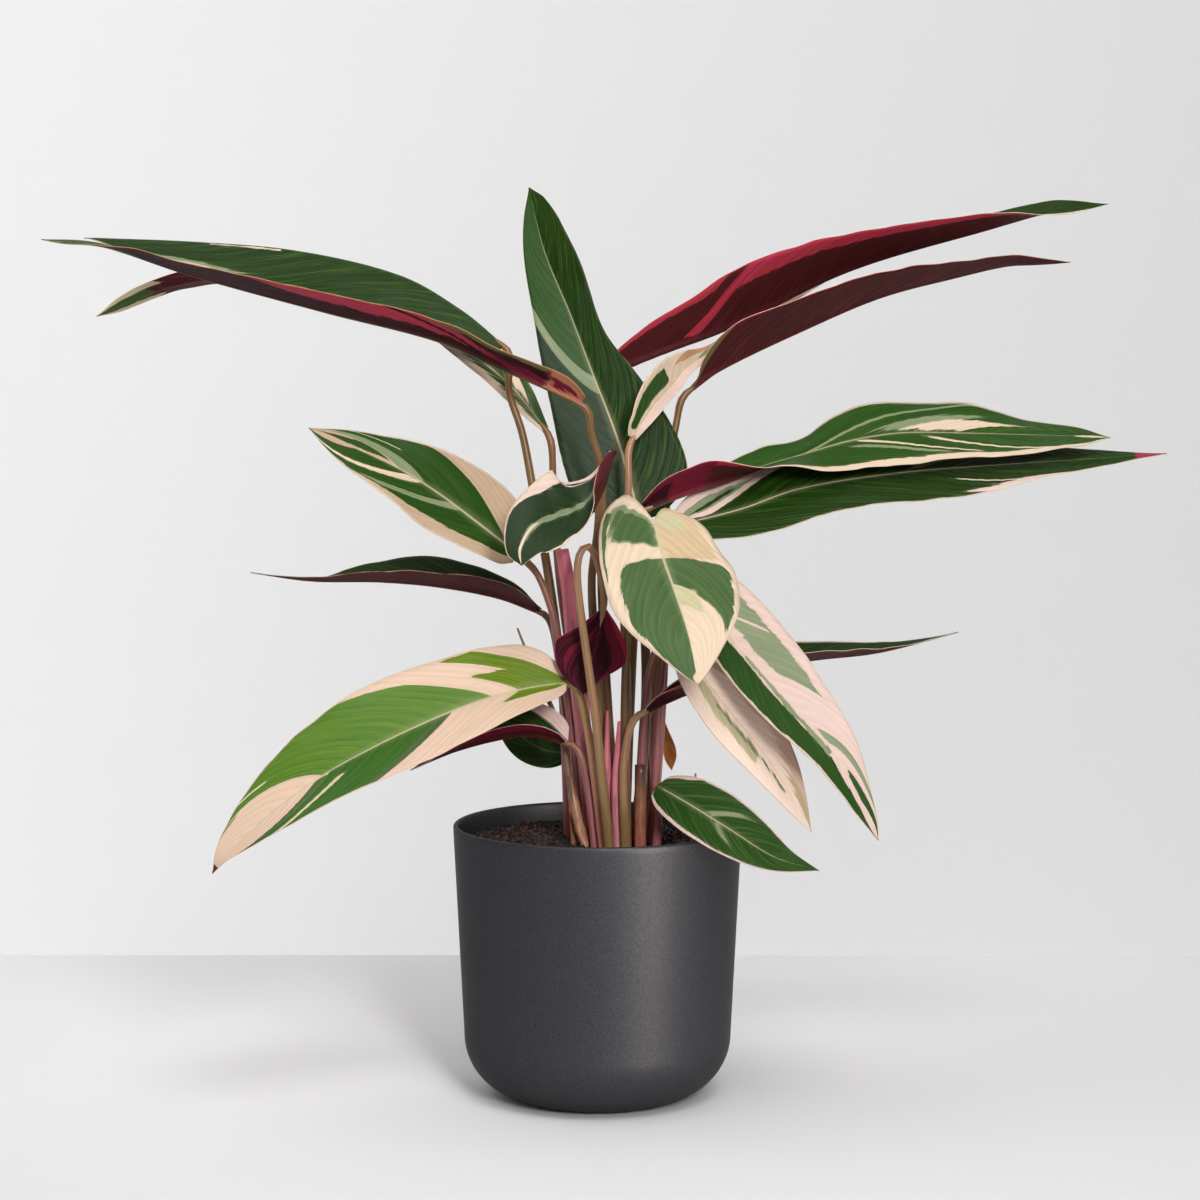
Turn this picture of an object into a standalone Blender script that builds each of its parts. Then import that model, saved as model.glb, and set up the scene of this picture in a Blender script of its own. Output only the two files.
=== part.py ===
"""Stromanthe plant standing in a round pot, built in metres with +Z up.

The origin is the centre of the pot's flat foot on the floor. +X runs to the
right hand of the plant's show side, +Y to its back. Lengths in the tables
below are millimetres and angles are degrees.
"""

import bisect
import math
from dataclasses import dataclass

import bpy
from mathutils import Vector

MM = 0.001

# Pot: a thin moulded wall that tapers down to a wide round lower corner.
POT_RIM_RADIUS = 75.0
POT_HEIGHT = 142.0
POT_CORNER_TOP_RADIUS = 69.5
POT_CORNER_HEIGHT = 32.0
POT_FOOT_RADIUS = 37.0
POT_WALL = 2.6
POT_FLOOR = 4.0
POT_SEGMENTS = 48

# Soil: fills the pot up to a little below its rim, slightly domed.
SOIL_EDGE_Z = 132.5
SOIL_CENTRE_Z = 134.5
SOIL_GAP = 0.3
STEM_DEPTH = 16.0
HOLE_GAP = 0.35
SOIL_SEGMENTS = 40

# Leaves and stems.
BLADE_THICKNESS = 0.8
BLADE_ROWS = 12
BLADE_END_HALF_WIDTH = 0.9
STEM_SIDES = 8
STEM_TO_BLADE = 0.5


@dataclass(frozen=True)
class Leaf:
    """One blade with the stem that carries it.

    rib: points of the midrib from the blade's base to its tip.
    left, right: widest half widths, seen from above with the tip ahead.
    belly: where along the rib the blade is widest, 0 base to 1 tip.
    facing: (place, direction) pairs, the way the upper side faces.
    fold_left, fold_right: (place, angle) pairs, how far each half rises.
    curl_left, curl_right: further bend of each half out to its edge.
    edge_left, edge_right: (place, half width) pairs for an uneven outline.
    wave: height of the edge waves, their number and their phase.
    lobe: how far the base corners reach back past the stem's end.
    knee: length of the stem's end that lies in line with the midrib.
    stem: points from the soil up to the knee.
    end: where the stem meets the blade's underside, if not at its base.
    radius: the stem's radius at the soil and at the blade.
    columns: faces across the blade.
    """

    name: str
    rib: tuple
    left: float
    right: float
    belly: float
    facing: tuple
    fold_left: tuple
    fold_right: tuple
    stem: tuple
    radius: tuple = (3.0, 1.7)
    curl_left: tuple = ((0.0, 0.0),)
    curl_right: tuple = ((0.0, 0.0),)
    edge_left: tuple = ()
    edge_right: tuple = ()
    wave: tuple = (0.0, 2.0, 0.0)
    lobe: float = 0.0
    knee: float = 5.0
    end: tuple = ()
    columns: int = 4


LEAVES = (
    # Long leaf held out to the upper left, both halves drooping.
    Leaf("leaf_01",
         rib=((-48, 8, 389), (-70, 14, 407), (-102, 22, 425), (-156, 30, 438), (-213, 34, 443), (-268, 34, 445)),
         left=26, right=26, belly=0.42,
         facing=((0.0, (0.0, -0.25, 1.0)), (1.0, (0.0, -0.2, 1.0))),
         fold_left=((0.0, -30), (0.5, -30), (1.0, -10)), fold_right=((0.0, -50), (0.5, -40), (1.0, -10)),
         curl_left=((0.0, -25),), curl_right=((0.0, -25),), wave=(1.5, 3.0, 0.4),
         stem=((-10, -4), (-17, -5, 209), (-25, -4, 270), (-33, -2, 315), (-39, 2, 346), (-46, 5, 367))),
    # Narrow leaf below it, its underside turned to the front.
    Leaf("leaf_02",
         rib=((-8, -26, 360), (-29, -27, 370), (-50, -27, 379), (-80, -25, 392), (-136, -20, 406),
              (-207, -12, 421), (-254, -6, 437), (-283, -4, 440)),
         left=20, right=17, belly=0.4,
         facing=((0.0, (0.0, 0.3, 0.95)), (0.8, (0.0, 0.2, 1.0)), (1.0, (0.0, -0.5, 0.9))),
         fold_left=((0.0, 40), (0.15, 20), (0.8, 10), (1.0, 0)), fold_right=((0.0, 50), (0.5, 45), (1.0, 10)),
         stem=((10, -14), (5, -17, 209), (2, -22, 270), (2, -24, 327), (-4, -25, 348)), radius=(2.7, 1.7)),
    # Third long leaf on the left, seen at its root and its tip.
    Leaf("leaf_03",
         rib=((-27, 12, 346), (-44, 20, 367), (-66, 30, 385), (-84, 44, 396), (-141, 68, 416), (-195, 82, 425),
              (-234, 86, 420), (-271, 86, 405)),
         left=14, right=16, belly=0.4,
         facing=((0.0, (-0.3, -0.6, 0.8)), (0.3, (0.0, -0.2, 1.0)), (0.7, (0.0, 0.5, 0.9)), (1.0, (-0.3, 0.0, 1.0))),
         fold_left=((0.0, 10), (1.0, 15)), fold_right=((0.0, 10), (1.0, 20)),
         stem=((-5, 5), (-11, 5, 206), (-20, 8, 272), (-23, 11, 320)), radius=(2.7, 1.7)),
    # Tall upright leaf.
    Leaf("leaf_04",
         rib=((22, 8, 299), (11, 18, 339), (-3, 28, 376), (-14, 34, 405), (-28, 42, 439), (-36, 48, 472)),
         left=31, right=28, belly=0.26,
         edge_left=((0.0, 12), (0.08, 28), (0.2, 32), (0.4, 27), (0.6, 20.5), (0.8, 12), (0.92, 6), (1.0, 0)),
         edge_right=((0.0, 12), (0.06, 27), (0.16, 31), (0.38, 22), (0.55, 13.5), (0.75, 16), (0.88, 13), (0.96, 7), (1.0, 0)),
         facing=((0.0, (0.1, -1.0, 0.2)), (1.0, (-0.2, -1.0, 0.3))),
         fold_left=((0.0, 8), (1.0, 12)), fold_right=((0.0, 8), (1.0, 12)), columns=6,
         stem=((14, 3), (17, 4, 206), (20, 6, 258))),
    # Narrow cream leaf rising to the right between its neighbours.
    Leaf("leaf_05",
         rib=((18, -8, 342), (22, -7, 349), (30, 5, 360), (39, 20, 369), (46, 33, 377), (63, 56, 388), (79, 72, 399),
              (121, 98, 424), (158, 118, 440)),
         left=16, right=12, belly=0.4,
         edge_left=((0.0, 3), (0.07, 12), (0.2, 15), (0.3, 9), (0.38, 4.5), (0.45, 3), (0.55, 4), (0.65, 5), (0.85, 4),
                    (1.0, 0)),
         edge_right=((0.0, 2), (0.1, 7), (0.24, 5), (0.35, 4), (0.6, 4), (1.0, 0)),
         facing=((0.0, (0.3, -0.8, 0.5)), (1.0, (0.3, -0.7, 0.6))),
         fold_left=((0.0, 40),), fold_right=((0.0, 45),),
         stem=((13, -8), (15, -8, 207), (13, -12, 280), (16, -12, 318)), radius=(2.8, 1.6)),
    # Two long leaves to the upper right, undersides to the front.
    Leaf("leaf_06",
         rib=((0, 50, 371), (20, 51, 380), (38, 52, 387), (68, 56, 398), (134, 64, 429), (209, 68, 451), (246, 66, 461),
              (271, 62, 464)),
         left=24, right=32, belly=0.34,
         edge_left=((0.0, 4), (0.15, 16), (0.4, 20), (0.7, 18), (0.85, 14), (0.95, 7), (1.0, 0)),
         edge_right=((0.0, 5), (0.1, 16), (0.25, 25), (0.42, 27), (0.62, 23), (0.8, 16), (0.92, 8), (1.0, 0)),
         facing=((0.0, (0.0, 0.5, 0.87)), (0.75, (0.0, 0.3, 0.95)), (1.0, (0.0, -0.5, 0.8))),
         fold_left=((0.0, 65), (0.7, 65), (0.88, 55), (1.0, 10)), fold_right=((0.0, 45), (0.35, 32), (0.7, 15), (1.0, 0)),
         stem=((12, 18), (17, 26, 203), (15, 36, 276), (3, 46, 342))),
    Leaf("leaf_07",
         rib=((48, 34, 366), (64, 40, 377), (107, 52, 397), (151, 64, 415), (194, 74, 426), (222, 80, 432), (255, 84, 434)),
         left=20, right=26, belly=0.36,
         edge_right=((0.0, 2), (0.03, 5), (0.06, 12), (0.12, 22), (0.2, 27), (0.35, 27), (0.6, 22), (0.85, 12), (0.95, 5),
                     (1.0, 0)),
         facing=((0.0, (0.0, 0.5, 0.87)), (1.0, (0.0, 0.3, 0.9))),
         fold_left=((0.0, 30), (1.0, 20)), fold_right=((0.0, 25), (0.3, 12), (1.0, 5)),
         stem=((24, 12), (29, 18, 204), (34, 24, 277), (38, 29, 330), (42, 32, 352))),
    # Right-hand pair at mid height.
    Leaf("leaf_08",
         rib=((24, -10, 306), (36, -9, 310.5), (48, -8, 315), (66, -5, 320.5), (84, -2, 327), (105, 2, 333),
              (130, 6, 340), (156, 8, 344), (187, 8, 344), (264, 4, 342)),
         left=28, right=27, belly=0.52,
         edge_left=((0.0, 4), (0.1, 8), (0.27, 13), (0.38, 17), (0.5, 25), (0.68, 27), (0.84, 15), (0.94, 8), (1.0, 0)),
         edge_right=((0.0, 5), (0.05, 12), (0.15, 17), (0.27, 20), (0.4, 25), (0.55, 27), (0.7, 25), (0.85, 18),
                     (0.94, 10), (1.0, 0)),
         facing=((0.0, (0.0, 0.6, 0.8)), (0.12, (0.0, 0.5, 0.87)), (0.27, (0.0, 0.0, 1.0)), (0.45, (0.0, -0.55, 0.85)),
                 (1.0, (0.0, -0.4, 0.9))),
         fold_left=((0.0, 70), (0.12, 85), (0.2, 62), (0.27, 35), (0.4, 5), (1.0, 5)),
         fold_right=((0.0, 25), (0.12, 25), (0.27, 0), (1.0, 0)),
         wave=(1.4, 4.5, 0.0), columns=6,
         stem=((20, -10), (25, -12, 208), (23, -12, 262), (19, -11, 290)), radius=(3.0, 2.0)),
    Leaf("leaf_09",
         rib=((40, -21, 298), (73, -16, 306), (103, -10, 316), (155, -4, 324), (207, 0, 328), (253, 0, 331), (292, -2, 334)),
         left=27, right=26, belly=0.36,
         edge_left=((0.0, 9), (0.04, 18), (0.12, 25), (0.35, 27), (0.6, 22), (0.8, 12), (0.93, 4), (1.0, 0)),
         edge_right=((0.0, 8), (0.05, 18), (0.15, 25), (0.35, 28), (0.55, 28), (0.7, 22), (0.82, 12), (0.93, 4), (1.0, 0)),
         facing=((0.0, (0.0, -0.5, 0.87)), (1.0, (0.0, -0.4, 0.9))),
         fold_left=((0.0, 10), (1.0, 5)), fold_right=((0.0, 0),),
         wave=(1.2, 2.5, 1.0), columns=6,
         stem=((28, -14), (33, -17, 209), (35, -17, 255), (36, -19, 281)), radius=(2.8, 1.9)),
    # Left-hand leaf at mid height, its face to the front.
    Leaf("leaf_10",
         rib=((-41, -12, 283), (-62, -18, 300), (-80, -22, 314), (-100, -26, 327), (-125, -30, 339), (-145, -32, 348)),
         left=24, right=27, belly=0.38,
         edge_left=((0.0, 6), (0.05, 12), (0.2, 18), (0.4, 22), (0.6, 21), (0.75, 16), (0.88, 9), (1.0, 0)),
         edge_right=((0.0, 8), (0.05, 20), (0.2, 27), (0.4, 25), (0.6, 18), (0.8, 11), (1.0, 0)),
         facing=((0.0, (0.0, -0.75, 0.66)), (1.0, (0.0, -0.75, 0.66))),
         fold_left=((0.0, 5),), fold_right=((0.0, 5),), wave=(1.5, 2.0, 0.0), columns=6,
         stem=((-8, -12), (-14, -13, 200), (-22, -14, 249), (-31, -12, 274)), radius=(2.6, 1.6)),
    # Small leaf in front, one half rolled over at its root.
    Leaf("leaf_11",
         rib=((8, -34, 336), (1, -40, 321), (-7, -46, 310), (-19, -54, 305), (-31, -64, 300), (-37, -72, 290),
              (-37, -76, 282)),
         left=21, right=20, belly=0.55,
         edge_left=((0.0, 6), (0.2, 18), (0.45, 21), (0.7, 18), (0.85, 14), (0.95, 8), (1.0, 0)),
         edge_right=((0.0, 2), (0.2, 6), (0.35, 16), (0.55, 18), (0.8, 12), (0.93, 6), (1.0, 0)),
         facing=((0.0, (-0.3, -0.9, 0.1)), (1.0, (-0.2, -0.9, 0.3))),
         fold_left=((0.0, 20), (0.6, 5), (1.0, 0)), fold_right=((0.0, 10),),
         curl_left=((0.0, 150), (0.35, 130), (0.6, 60), (0.8, 0)), curl_right=((0.0, -15),), columns=6,
         stem=((4, -18), (1, -25, 209), (-3, -28, 270), (0, -29, 296)), end=(1.1, -38.5, 319.2), radius=(3.0, 1.7)),
    # Thin leaf to the left, keeled like a boat.
    Leaf("leaf_12",
         rib=((-30, 8, 252), (-51, 14, 259), (-82, 20, 264), (-114, 26, 266), (-151, 30, 266), (-183, 34, 270)),
         left=17, right=17, belly=0.33,
         edge_left=((0.0, 3), (0.1, 8), (0.3, 15), (0.55, 13), (0.75, 7), (1.0, 0)),
         edge_right=((0.0, 3), (0.1, 9), (0.25, 15), (0.42, 19), (0.6, 13), (0.75, 5), (1.0, 0)),
         facing=((0.0, (0.0, 0.0, 1.0)),),
         fold_left=((0.0, 35), (1.0, 20)), fold_right=((0.0, 55), (1.0, 35)),
         stem=((-15, 4), (-18, 3, 206), (-20, 4, 225), (-22.5, 5, 240)), radius=(2.6, 1.6)),
    # Large leaf to the lower left.
    Leaf("leaf_13",
         rib=((-16, -31, 219), (-39, -38, 216), (-64, -49, 210), (-108, -64, 192), (-146, -76, 171), (-183, -84, 140),
              (-189, -84, 131)),
         left=28, right=31, belly=0.42,
         edge_right=((0.0, 8), (0.04, 18), (0.12, 25), (0.4, 31), (0.62, 27), (0.8, 19), (0.92, 9), (1.0, 0)),
         facing=((0.0, (-0.1, -0.6, 0.8)), (1.0, (-0.3, -0.7, 0.7))),
         fold_left=((0.0, 10), (1.0, 10)), fold_right=((0.0, 35), (0.3, 25), (1.0, 15)),
         wave=(1.0, 2.0, 0.0), columns=6,
         stem=((3, -33), (-1, -34, 169), (-5, -34, 196)), radius=(2.6, 1.8)),
    # Two small leaves behind it.
    Leaf("leaf_14",
         rib=((-15, -27, 188), (-28, -26, 191), (-42, -24, 191), (-71, -19, 183), (-96, -14, 172)),
         left=13, right=19, belly=0.35,
         facing=((0.0, (0.0, -0.2, 1.0)),),
         fold_left=((0.0, 45), (1.0, 30)), fold_right=((0.0, 55), (1.0, 40)),
         stem=((-1, -27), (-4, -29, 160), (-7, -29, 176)), radius=(2.6, 1.7)),
    Leaf("leaf_15",
         rib=((-13, 18, 177), (-27, 22, 177), (-42, 27, 185), (-53, 32, 196)),
         left=11, right=12, belly=0.45,
         facing=((0.0, (0.0, -0.9, 0.4)),),
         fold_left=((0.0, 5),), fold_right=((0.0, 5),),
         stem=((-6, 15), (-5, 15, 160)), radius=(2.4, 1.5)),
    # Small leaf hanging behind its own arched stem, underside to the front.
    Leaf("leaf_16",
         rib=((3, -38, 257), (0, -38, 241), (-4, -38, 227), (-7, -38, 214)),
         left=20, right=17, belly=0.45,
         facing=((0.0, (0.1, 1.0, 0.1)),),
         fold_left=((0.0, 8),), fold_right=((0.0, 12),),
         stem=((6, -40.5), (-1, -47, 204), (-5, -48, 233), (-10, -48, 272), (-9, -47, 287), (-4, -43, 291),
               (1, -40, 277)),
         radius=(2.6, 1.6)),
    # Broad leaf hanging to the front.
    Leaf("leaf_17",
         rib=((28, -50, 302), (32, -68, 286), (38, -86, 269), (44, -106, 250), (48, -122, 229)),
         left=32, right=34, belly=0.42,
         edge_left=((0.0, 9), (0.05, 22), (0.15, 30), (0.4, 33), (0.65, 27), (0.85, 14), (1.0, 0)),
         edge_right=((0.0, 17), (0.05, 25), (0.15, 29), (0.4, 34), (0.65, 29), (0.85, 16), (1.0, 0)),
         facing=((0.0, (0.1, -0.5, 0.85)), (1.0, (0.0, -0.8, 0.5))),
         fold_left=((0.0, 5),), fold_right=((0.0, 5),), curl_left=((0.0, -15),), curl_right=((0.0, -15),),
         lobe=12.0, columns=6,
         stem=((15, -30), (14, -31, 209), (17, -35, 268), (23, -43, 287)), end=(28.5, -52.8, 297.4), radius=(2.6, 1.8)),
    # Two leaves drooping to the lower right.
    Leaf("leaf_18",
         rib=((46, -36, 271), (65, -46, 246), (92, -60, 216), (116, -72, 190), (129, -78, 166), (138, -82, 147)),
         left=27, right=18, belly=0.42,
         edge_left=((0.0, 9), (0.06, 20), (0.2, 25), (0.4, 24), (0.65, 16), (0.85, 8), (0.95, 4), (1.0, 0)),
         facing=((0.0, (0.3, -0.9, 0.4)),),
         fold_left=((0.0, 5),), fold_right=((0.0, 10),), columns=6,
         stem=((29, -23), (31, -23, 200), (34, -25, 238), (38, -29, 262)), radius=(2.6, 1.8)),
    Leaf("leaf_19",
         rib=((41, -40, 247), (51, -43, 227), (66, -48, 207), (84, -52, 185), (98, -55, 163), (107, -56, 147)),
         left=17, right=17, belly=0.42,
         facing=((0.0, (0.2, -0.95, 0.3)),),
         fold_left=((0.0, 25),), fold_right=((0.0, 20),),
         stem=((21, -26), (23, -25, 191), (26, -27, 222), (31, -33, 240)), radius=(2.6, 1.6)),
    # Thin keeled leaf running out to the right.
    Leaf("leaf_20",
         rib=((23, -36, 205), (37, -33, 211), (52, -20, 215), (85, 8, 221), (111, 20, 225), (149, 32, 228), (191, 38, 238)),
         left=15, right=15, belly=0.38,
         edge_left=((0.0, 3), (0.1, 7), (0.25, 12), (0.4, 16), (0.65, 13), (0.85, 6), (1.0, 0)),
         facing=((0.0, (0.0, 0.0, 1.0)),),
         fold_left=((0.0, 50), (1.0, 30)), fold_right=((0.0, 45), (0.6, 25), (1.0, 15)),
         stem=((14.5, -38), (13, -39, 175), (16, -38, 196)), radius=(2.8, 1.6)),
    # Small low leaf lying out over the pot's rim.
    Leaf("leaf_21",
         rib=((30, -42, 168), (46, -51, 160), (66, -62, 149), (88, -74, 137), (109, -82, 132)),
         left=16, right=17, belly=0.36,
         facing=((0.0, (0.0, -0.6, 0.8)),),
         fold_left=((0.0, 25),), fold_right=((0.0, 0),), columns=6, knee=3.0,
         stem=((30, -32), (31, -35, 152)), radius=(2.4, 1.5)),
    # Dried leaf hanging on its stalk.
    Leaf("leaf_22",
         rib=((32, 1, 204.5), (34, 1, 193), (37, 1, 181), (38.5, 0, 170)),
         left=3.5, right=4, belly=0.7,
         facing=((0.0, (0.3, -1.0, 0.2)),),
         fold_left=((0.0, 25),), fold_right=((0.0, 30),), wave=(1.0, 1.5, 0.0),
         stem=((29, 4), (26.5, 4, 170), (26.5, 3, 198)), end=(30.9, 1.6, 205.3), radius=(1.4, 0.6)),
)


@dataclass(frozen=True)
class Stalk:
    """A stem without a blade: a sheath, a young shoot or a cut stub."""

    name: str
    path: tuple
    radius: tuple


STALKS = (
    Stalk("sheath_1", ((-3, -17), (-8, -19, 200), (-14, -21, 262), (-18, -22, 286)), (3.2, 4.0, 4.6, 1.0)),
    Stalk("sheath_2", ((10.5, -33), (9.5, -34.5, 170), (11, -36, 200)), (3.0, 2.4, 0.8)),
    Stalk("sheath_3", ((7, -25), (5, -31, 180), (5, -32, 205)), (2.4, 2.2, 0.7)),
    Stalk("old_sheath", ((-7, -25), (-11, -23, 150), (-14, -21, 170)), (2.8, 2.6, 1.2)),
    Stalk("stub", ((21.7, -37), (21.7, -37, 160), (21.7, -36.5, 178)), (3.0, 3.0, 2.8)),
    Stalk("shoot_1", ((-12, -19), (-14, -18, 165), (-19, -15, 192), (-26, -13, 210), (-38, -12, 237), (-41, -12, 245)),
          (1.8, 1.7, 1.2, 0.5)),
    Stalk("shoot_2", ((49, -22), (50, -24, 155), (50, -26, 172)), (1.5, 1.2, 0.5)),
)


def clear_scene():
    """Remove every object of the start-up scene."""
    for item in list(bpy.data.objects):
        bpy.data.objects.remove(item, do_unlink=True)


def make_material(name, colour, roughness, metallic=0.0):
    """Return a plain Principled material."""
    material = bpy.data.materials.new(name)
    material.use_nodes = True
    shader = material.node_tree.nodes["Principled BSDF"]
    shader.inputs["Base Color"].default_value = (*colour, 1.0)
    shader.inputs["Roughness"].default_value = roughness
    shader.inputs["Metallic"].default_value = metallic
    material.diffuse_color = (*colour, 1.0)
    return material


def make_object(name, points, faces, material):
    """Return a mesh object whose points are given in millimetres."""
    mesh = bpy.data.meshes.new(name)
    mesh.from_pydata([tuple(c * MM for c in p) for p in points], [], faces)
    mesh.validate()
    mesh.update()
    item = bpy.data.objects.new(name, mesh)
    bpy.context.scene.collection.objects.link(item)
    item.data.materials.append(material)
    return item


def keyed(keys, place):
    """Blend the values of (place, value) pairs smoothly at one place."""
    if place <= keys[0][0]:
        return keys[0][1]
    for (u0, a), (u1, b) in zip(keys, keys[1:]):
        if place <= u1:
            t = (place - u0) / (u1 - u0)
            t = t * t * (3.0 - 2.0 * t)
            return a + (b - a) * t
    return keys[-1][1]


def smooth_curve(points, samples=16):
    """Return points along a Catmull-Rom curve through the given points."""
    given = [Vector(p) for p in points]
    if len(given) == 2:
        return [given[0].lerp(given[1], i / samples) for i in range(samples + 1)]
    ends = [given[0] * 2 - given[1], *given, given[-1] * 2 - given[-2]]
    curve = []
    for i in range(1, len(ends) - 2):
        p0, p1, p2, p3 = ends[i - 1:i + 3]
        span = (p2 - p1).length
        m1 = (p2 - p0) * (span / ((p1 - p0).length + span))
        m2 = (p3 - p1) * (span / (span + (p3 - p2).length))
        for k in range(samples):
            t = k / samples
            curve.append(p1 * (2 * t**3 - 3 * t**2 + 1) + m1 * (t**3 - 2 * t**2 + t)
                         + p2 * (3 * t**2 - 2 * t**3) + m2 * (t**3 - t**2))
    curve.append(given[-1])
    return curve


class Path:
    """A curve that can be read at any share of its length."""

    def __init__(self, points):
        self.points = smooth_curve(points)
        self.marks = [0.0]
        for a, b in zip(self.points, self.points[1:]):
            self.marks.append(self.marks[-1] + (b - a).length)
        self.length = self.marks[-1]

    def at(self, place):
        """Return the point at a share (0 to 1) of the length."""
        goal = min(max(place, 0.0), 1.0) * self.length
        i = min(max(bisect.bisect_right(self.marks, goal) - 1, 0), len(self.points) - 2)
        step = self.marks[i + 1] - self.marks[i]
        return self.points[i].lerp(self.points[i + 1], (goal - self.marks[i]) / step)

    def along(self, place):
        """Return the direction of the curve at a share of the length."""
        step = 0.4 / self.length
        return (self.at(place + step) - self.at(place - step)).normalized()


def half_shape(place, belly):
    """Return the blade's half width at one place, 1 at its widest."""
    turned = place ** (math.log(0.5) / math.log(belly))
    return max(math.sin(math.pi * turned), 0.0) ** (0.55 + 0.4 * place)


def edge_width(keys, place):
    """Return a half width read from (place, half width) pairs."""
    for i in range(len(keys) - 1):
        u1, a = keys[i]
        u2, b = keys[i + 1]
        if place <= u2:
            u0, before = keys[max(i - 1, 0)]
            u3, after = keys[min(i + 2, len(keys) - 1)]
            t = (place - u1) / (u2 - u1)
            m1 = (b - before) / (u2 - u0) * (u2 - u1)
            m2 = (after - a) / (u3 - u1) * (u2 - u1)
            return (a * (2 * t**3 - 3 * t**2 + 1) + m1 * (t**3 - 2 * t**2 + t)
                    + b * (3 * t**2 - 2 * t**3) + m2 * (t**3 - t**2))
    return keys[-1][1]


def blade_point(leaf, path, place, across):
    """Return a point in the middle of the blade's thickness.

    place runs 0 to 1 from base to tip, across runs -1 (left) to 1 (right).
    """
    along = path.along(place)
    facing = Vector(keyed([(u, Vector(d)) for u, d in leaf.facing], place))
    up = (facing - along * facing.dot(along)).normalized()
    side = along.cross(up)
    right = across > 0.0
    keys = leaf.edge_right if right else leaf.edge_left
    widest = leaf.right if right else leaf.left
    width = edge_width(keys, place) if keys else widest * half_shape(place, leaf.belly)
    width = max(width, BLADE_END_HALF_WIDTH)
    slack = min(width / 8.0, 1.0)
    fold = keyed(leaf.fold_right if right else leaf.fold_left, place) * slack
    curl = keyed(leaf.curl_right if right else leaf.curl_left, place) * slack
    point = path.at(place)
    steps = 6
    reach = abs(across) * width / steps
    for k in range(steps):
        angle = math.radians(fold + curl * abs(across) * (k + 0.5) / steps)
        way = side if right else -side
        point = point + (way * math.cos(angle) + up * math.sin(angle)) * reach
    height, count, phase = leaf.wave
    swell = height * math.sin(2.0 * math.pi * count * place + phase + (1.2 if right else 0.0))
    point = point + up * (swell * across * across * math.sin(math.pi * place))
    return point - along * (leaf.lobe * abs(across) ** 1.6 * (1.0 - place) ** 5)


def make_blade(leaf, material):
    """Build one blade as a thin closed body."""
    path = Path(leaf.rib)
    rows = BLADE_ROWS
    cols = leaf.columns
    places = [(0.5 - 0.5 * math.cos(math.pi * i / rows)) * 0.5 + 0.5 * i / rows for i in range(rows + 1)]
    acrosses = [-1.0 + 2.0 * j / cols for j in range(cols + 1)]
    grid = [[blade_point(leaf, path, u, v) for v in acrosses] for u in places]
    upper = []
    lower = []
    for i in range(rows + 1):
        for j in range(cols + 1):
            du = grid[min(i + 1, rows)][j] - grid[max(i - 1, 0)][j]
            dv = grid[i][min(j + 1, cols)] - grid[i][max(j - 1, 0)]
            normal = dv.cross(du).normalized() * (BLADE_THICKNESS / 2.0)
            upper.append(grid[i][j] + normal)
            lower.append(grid[i][j] - normal)
    count = len(upper)
    wide = cols + 1
    faces = []
    for i in range(rows):
        for j in range(cols):
            a = i * wide + j
            b = a + 1
            c = a + wide + 1
            d = a + wide
            if (i + j) % 2:
                faces += [(a, b, c), (a, c, d), (count + a, count + c, count + b), (count + a, count + d, count + c)]
            else:
                faces += [(a, b, d), (b, c, d), (count + a, count + d, count + b), (count + b, count + d, count + c)]
    rim = [j for j in range(cols)]
    rim += [i * wide + cols for i in range(rows)]
    rim += [rows * wide + cols - j for j in range(cols)]
    rim += [(rows - i) * wide for i in range(rows)]
    for a, b in zip(rim, rim[1:] + rim[:1]):
        faces += [(a, count + a, count + b), (a, count + b, b)]
    return make_object(leaf.name, upper + lower, faces, material)


def soil_height(x, y):
    """Return the height of the soil's top at one place."""
    share = min(math.hypot(x, y) / 66.0, 1.0)
    return SOIL_CENTRE_Z + (SOIL_EDGE_Z - SOIL_CENTRE_Z) * share * share


def make_tube(name, path, radii, material, rings, end):
    """Build a round stem that stands upright in the soil.

    path starts with the (x, y) place in the soil, radii are spread evenly
    along it and end is the share of the path that the stem covers.
    """
    x, y = path[0]
    start = Vector((x, y, SOIL_CENTRE_Z + 2.0))
    curve = Path([start, *path[1:]])
    points = [Vector((x, y, SOIL_CENTRE_Z - STEM_DEPTH))]
    sizes = [radii[0]]
    turns = [Vector((0, 0, 1))]
    for i in range(rings + 1):
        place = end * i / rings
        points.append(curve.at(place))
        slot = min(i / rings * (len(radii) - 1), len(radii) - 1.0001)
        low = int(slot)
        sizes.append(radii[low] + (radii[low + 1] - radii[low]) * (slot - low))
        turns.append(Vector((0, 0, 1)) if i == 0 else curve.along(place))
    side = Vector((1, 0, 0))
    corners = []
    for point, size, turn in zip(points, sizes, turns):
        side = (side - turn * side.dot(turn)).normalized()
        other = turn.cross(side)
        for k in range(STEM_SIDES):
            angle = 2.0 * math.pi * k / STEM_SIDES
            corners.append(point + (side * math.cos(angle) + other * math.sin(angle)) * size)
    faces = []
    for i in range(len(points) - 1):
        for k in range(STEM_SIDES):
            a = i * STEM_SIDES + k
            b = i * STEM_SIDES + (k + 1) % STEM_SIDES
            faces.append((a, b, b + STEM_SIDES, a + STEM_SIDES))
    last = (len(points) - 1) * STEM_SIDES
    faces.append(tuple(reversed(range(STEM_SIDES))))
    faces.append(tuple(last + k for k in range(STEM_SIDES)))
    return make_object(name, corners, faces, material)


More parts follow.
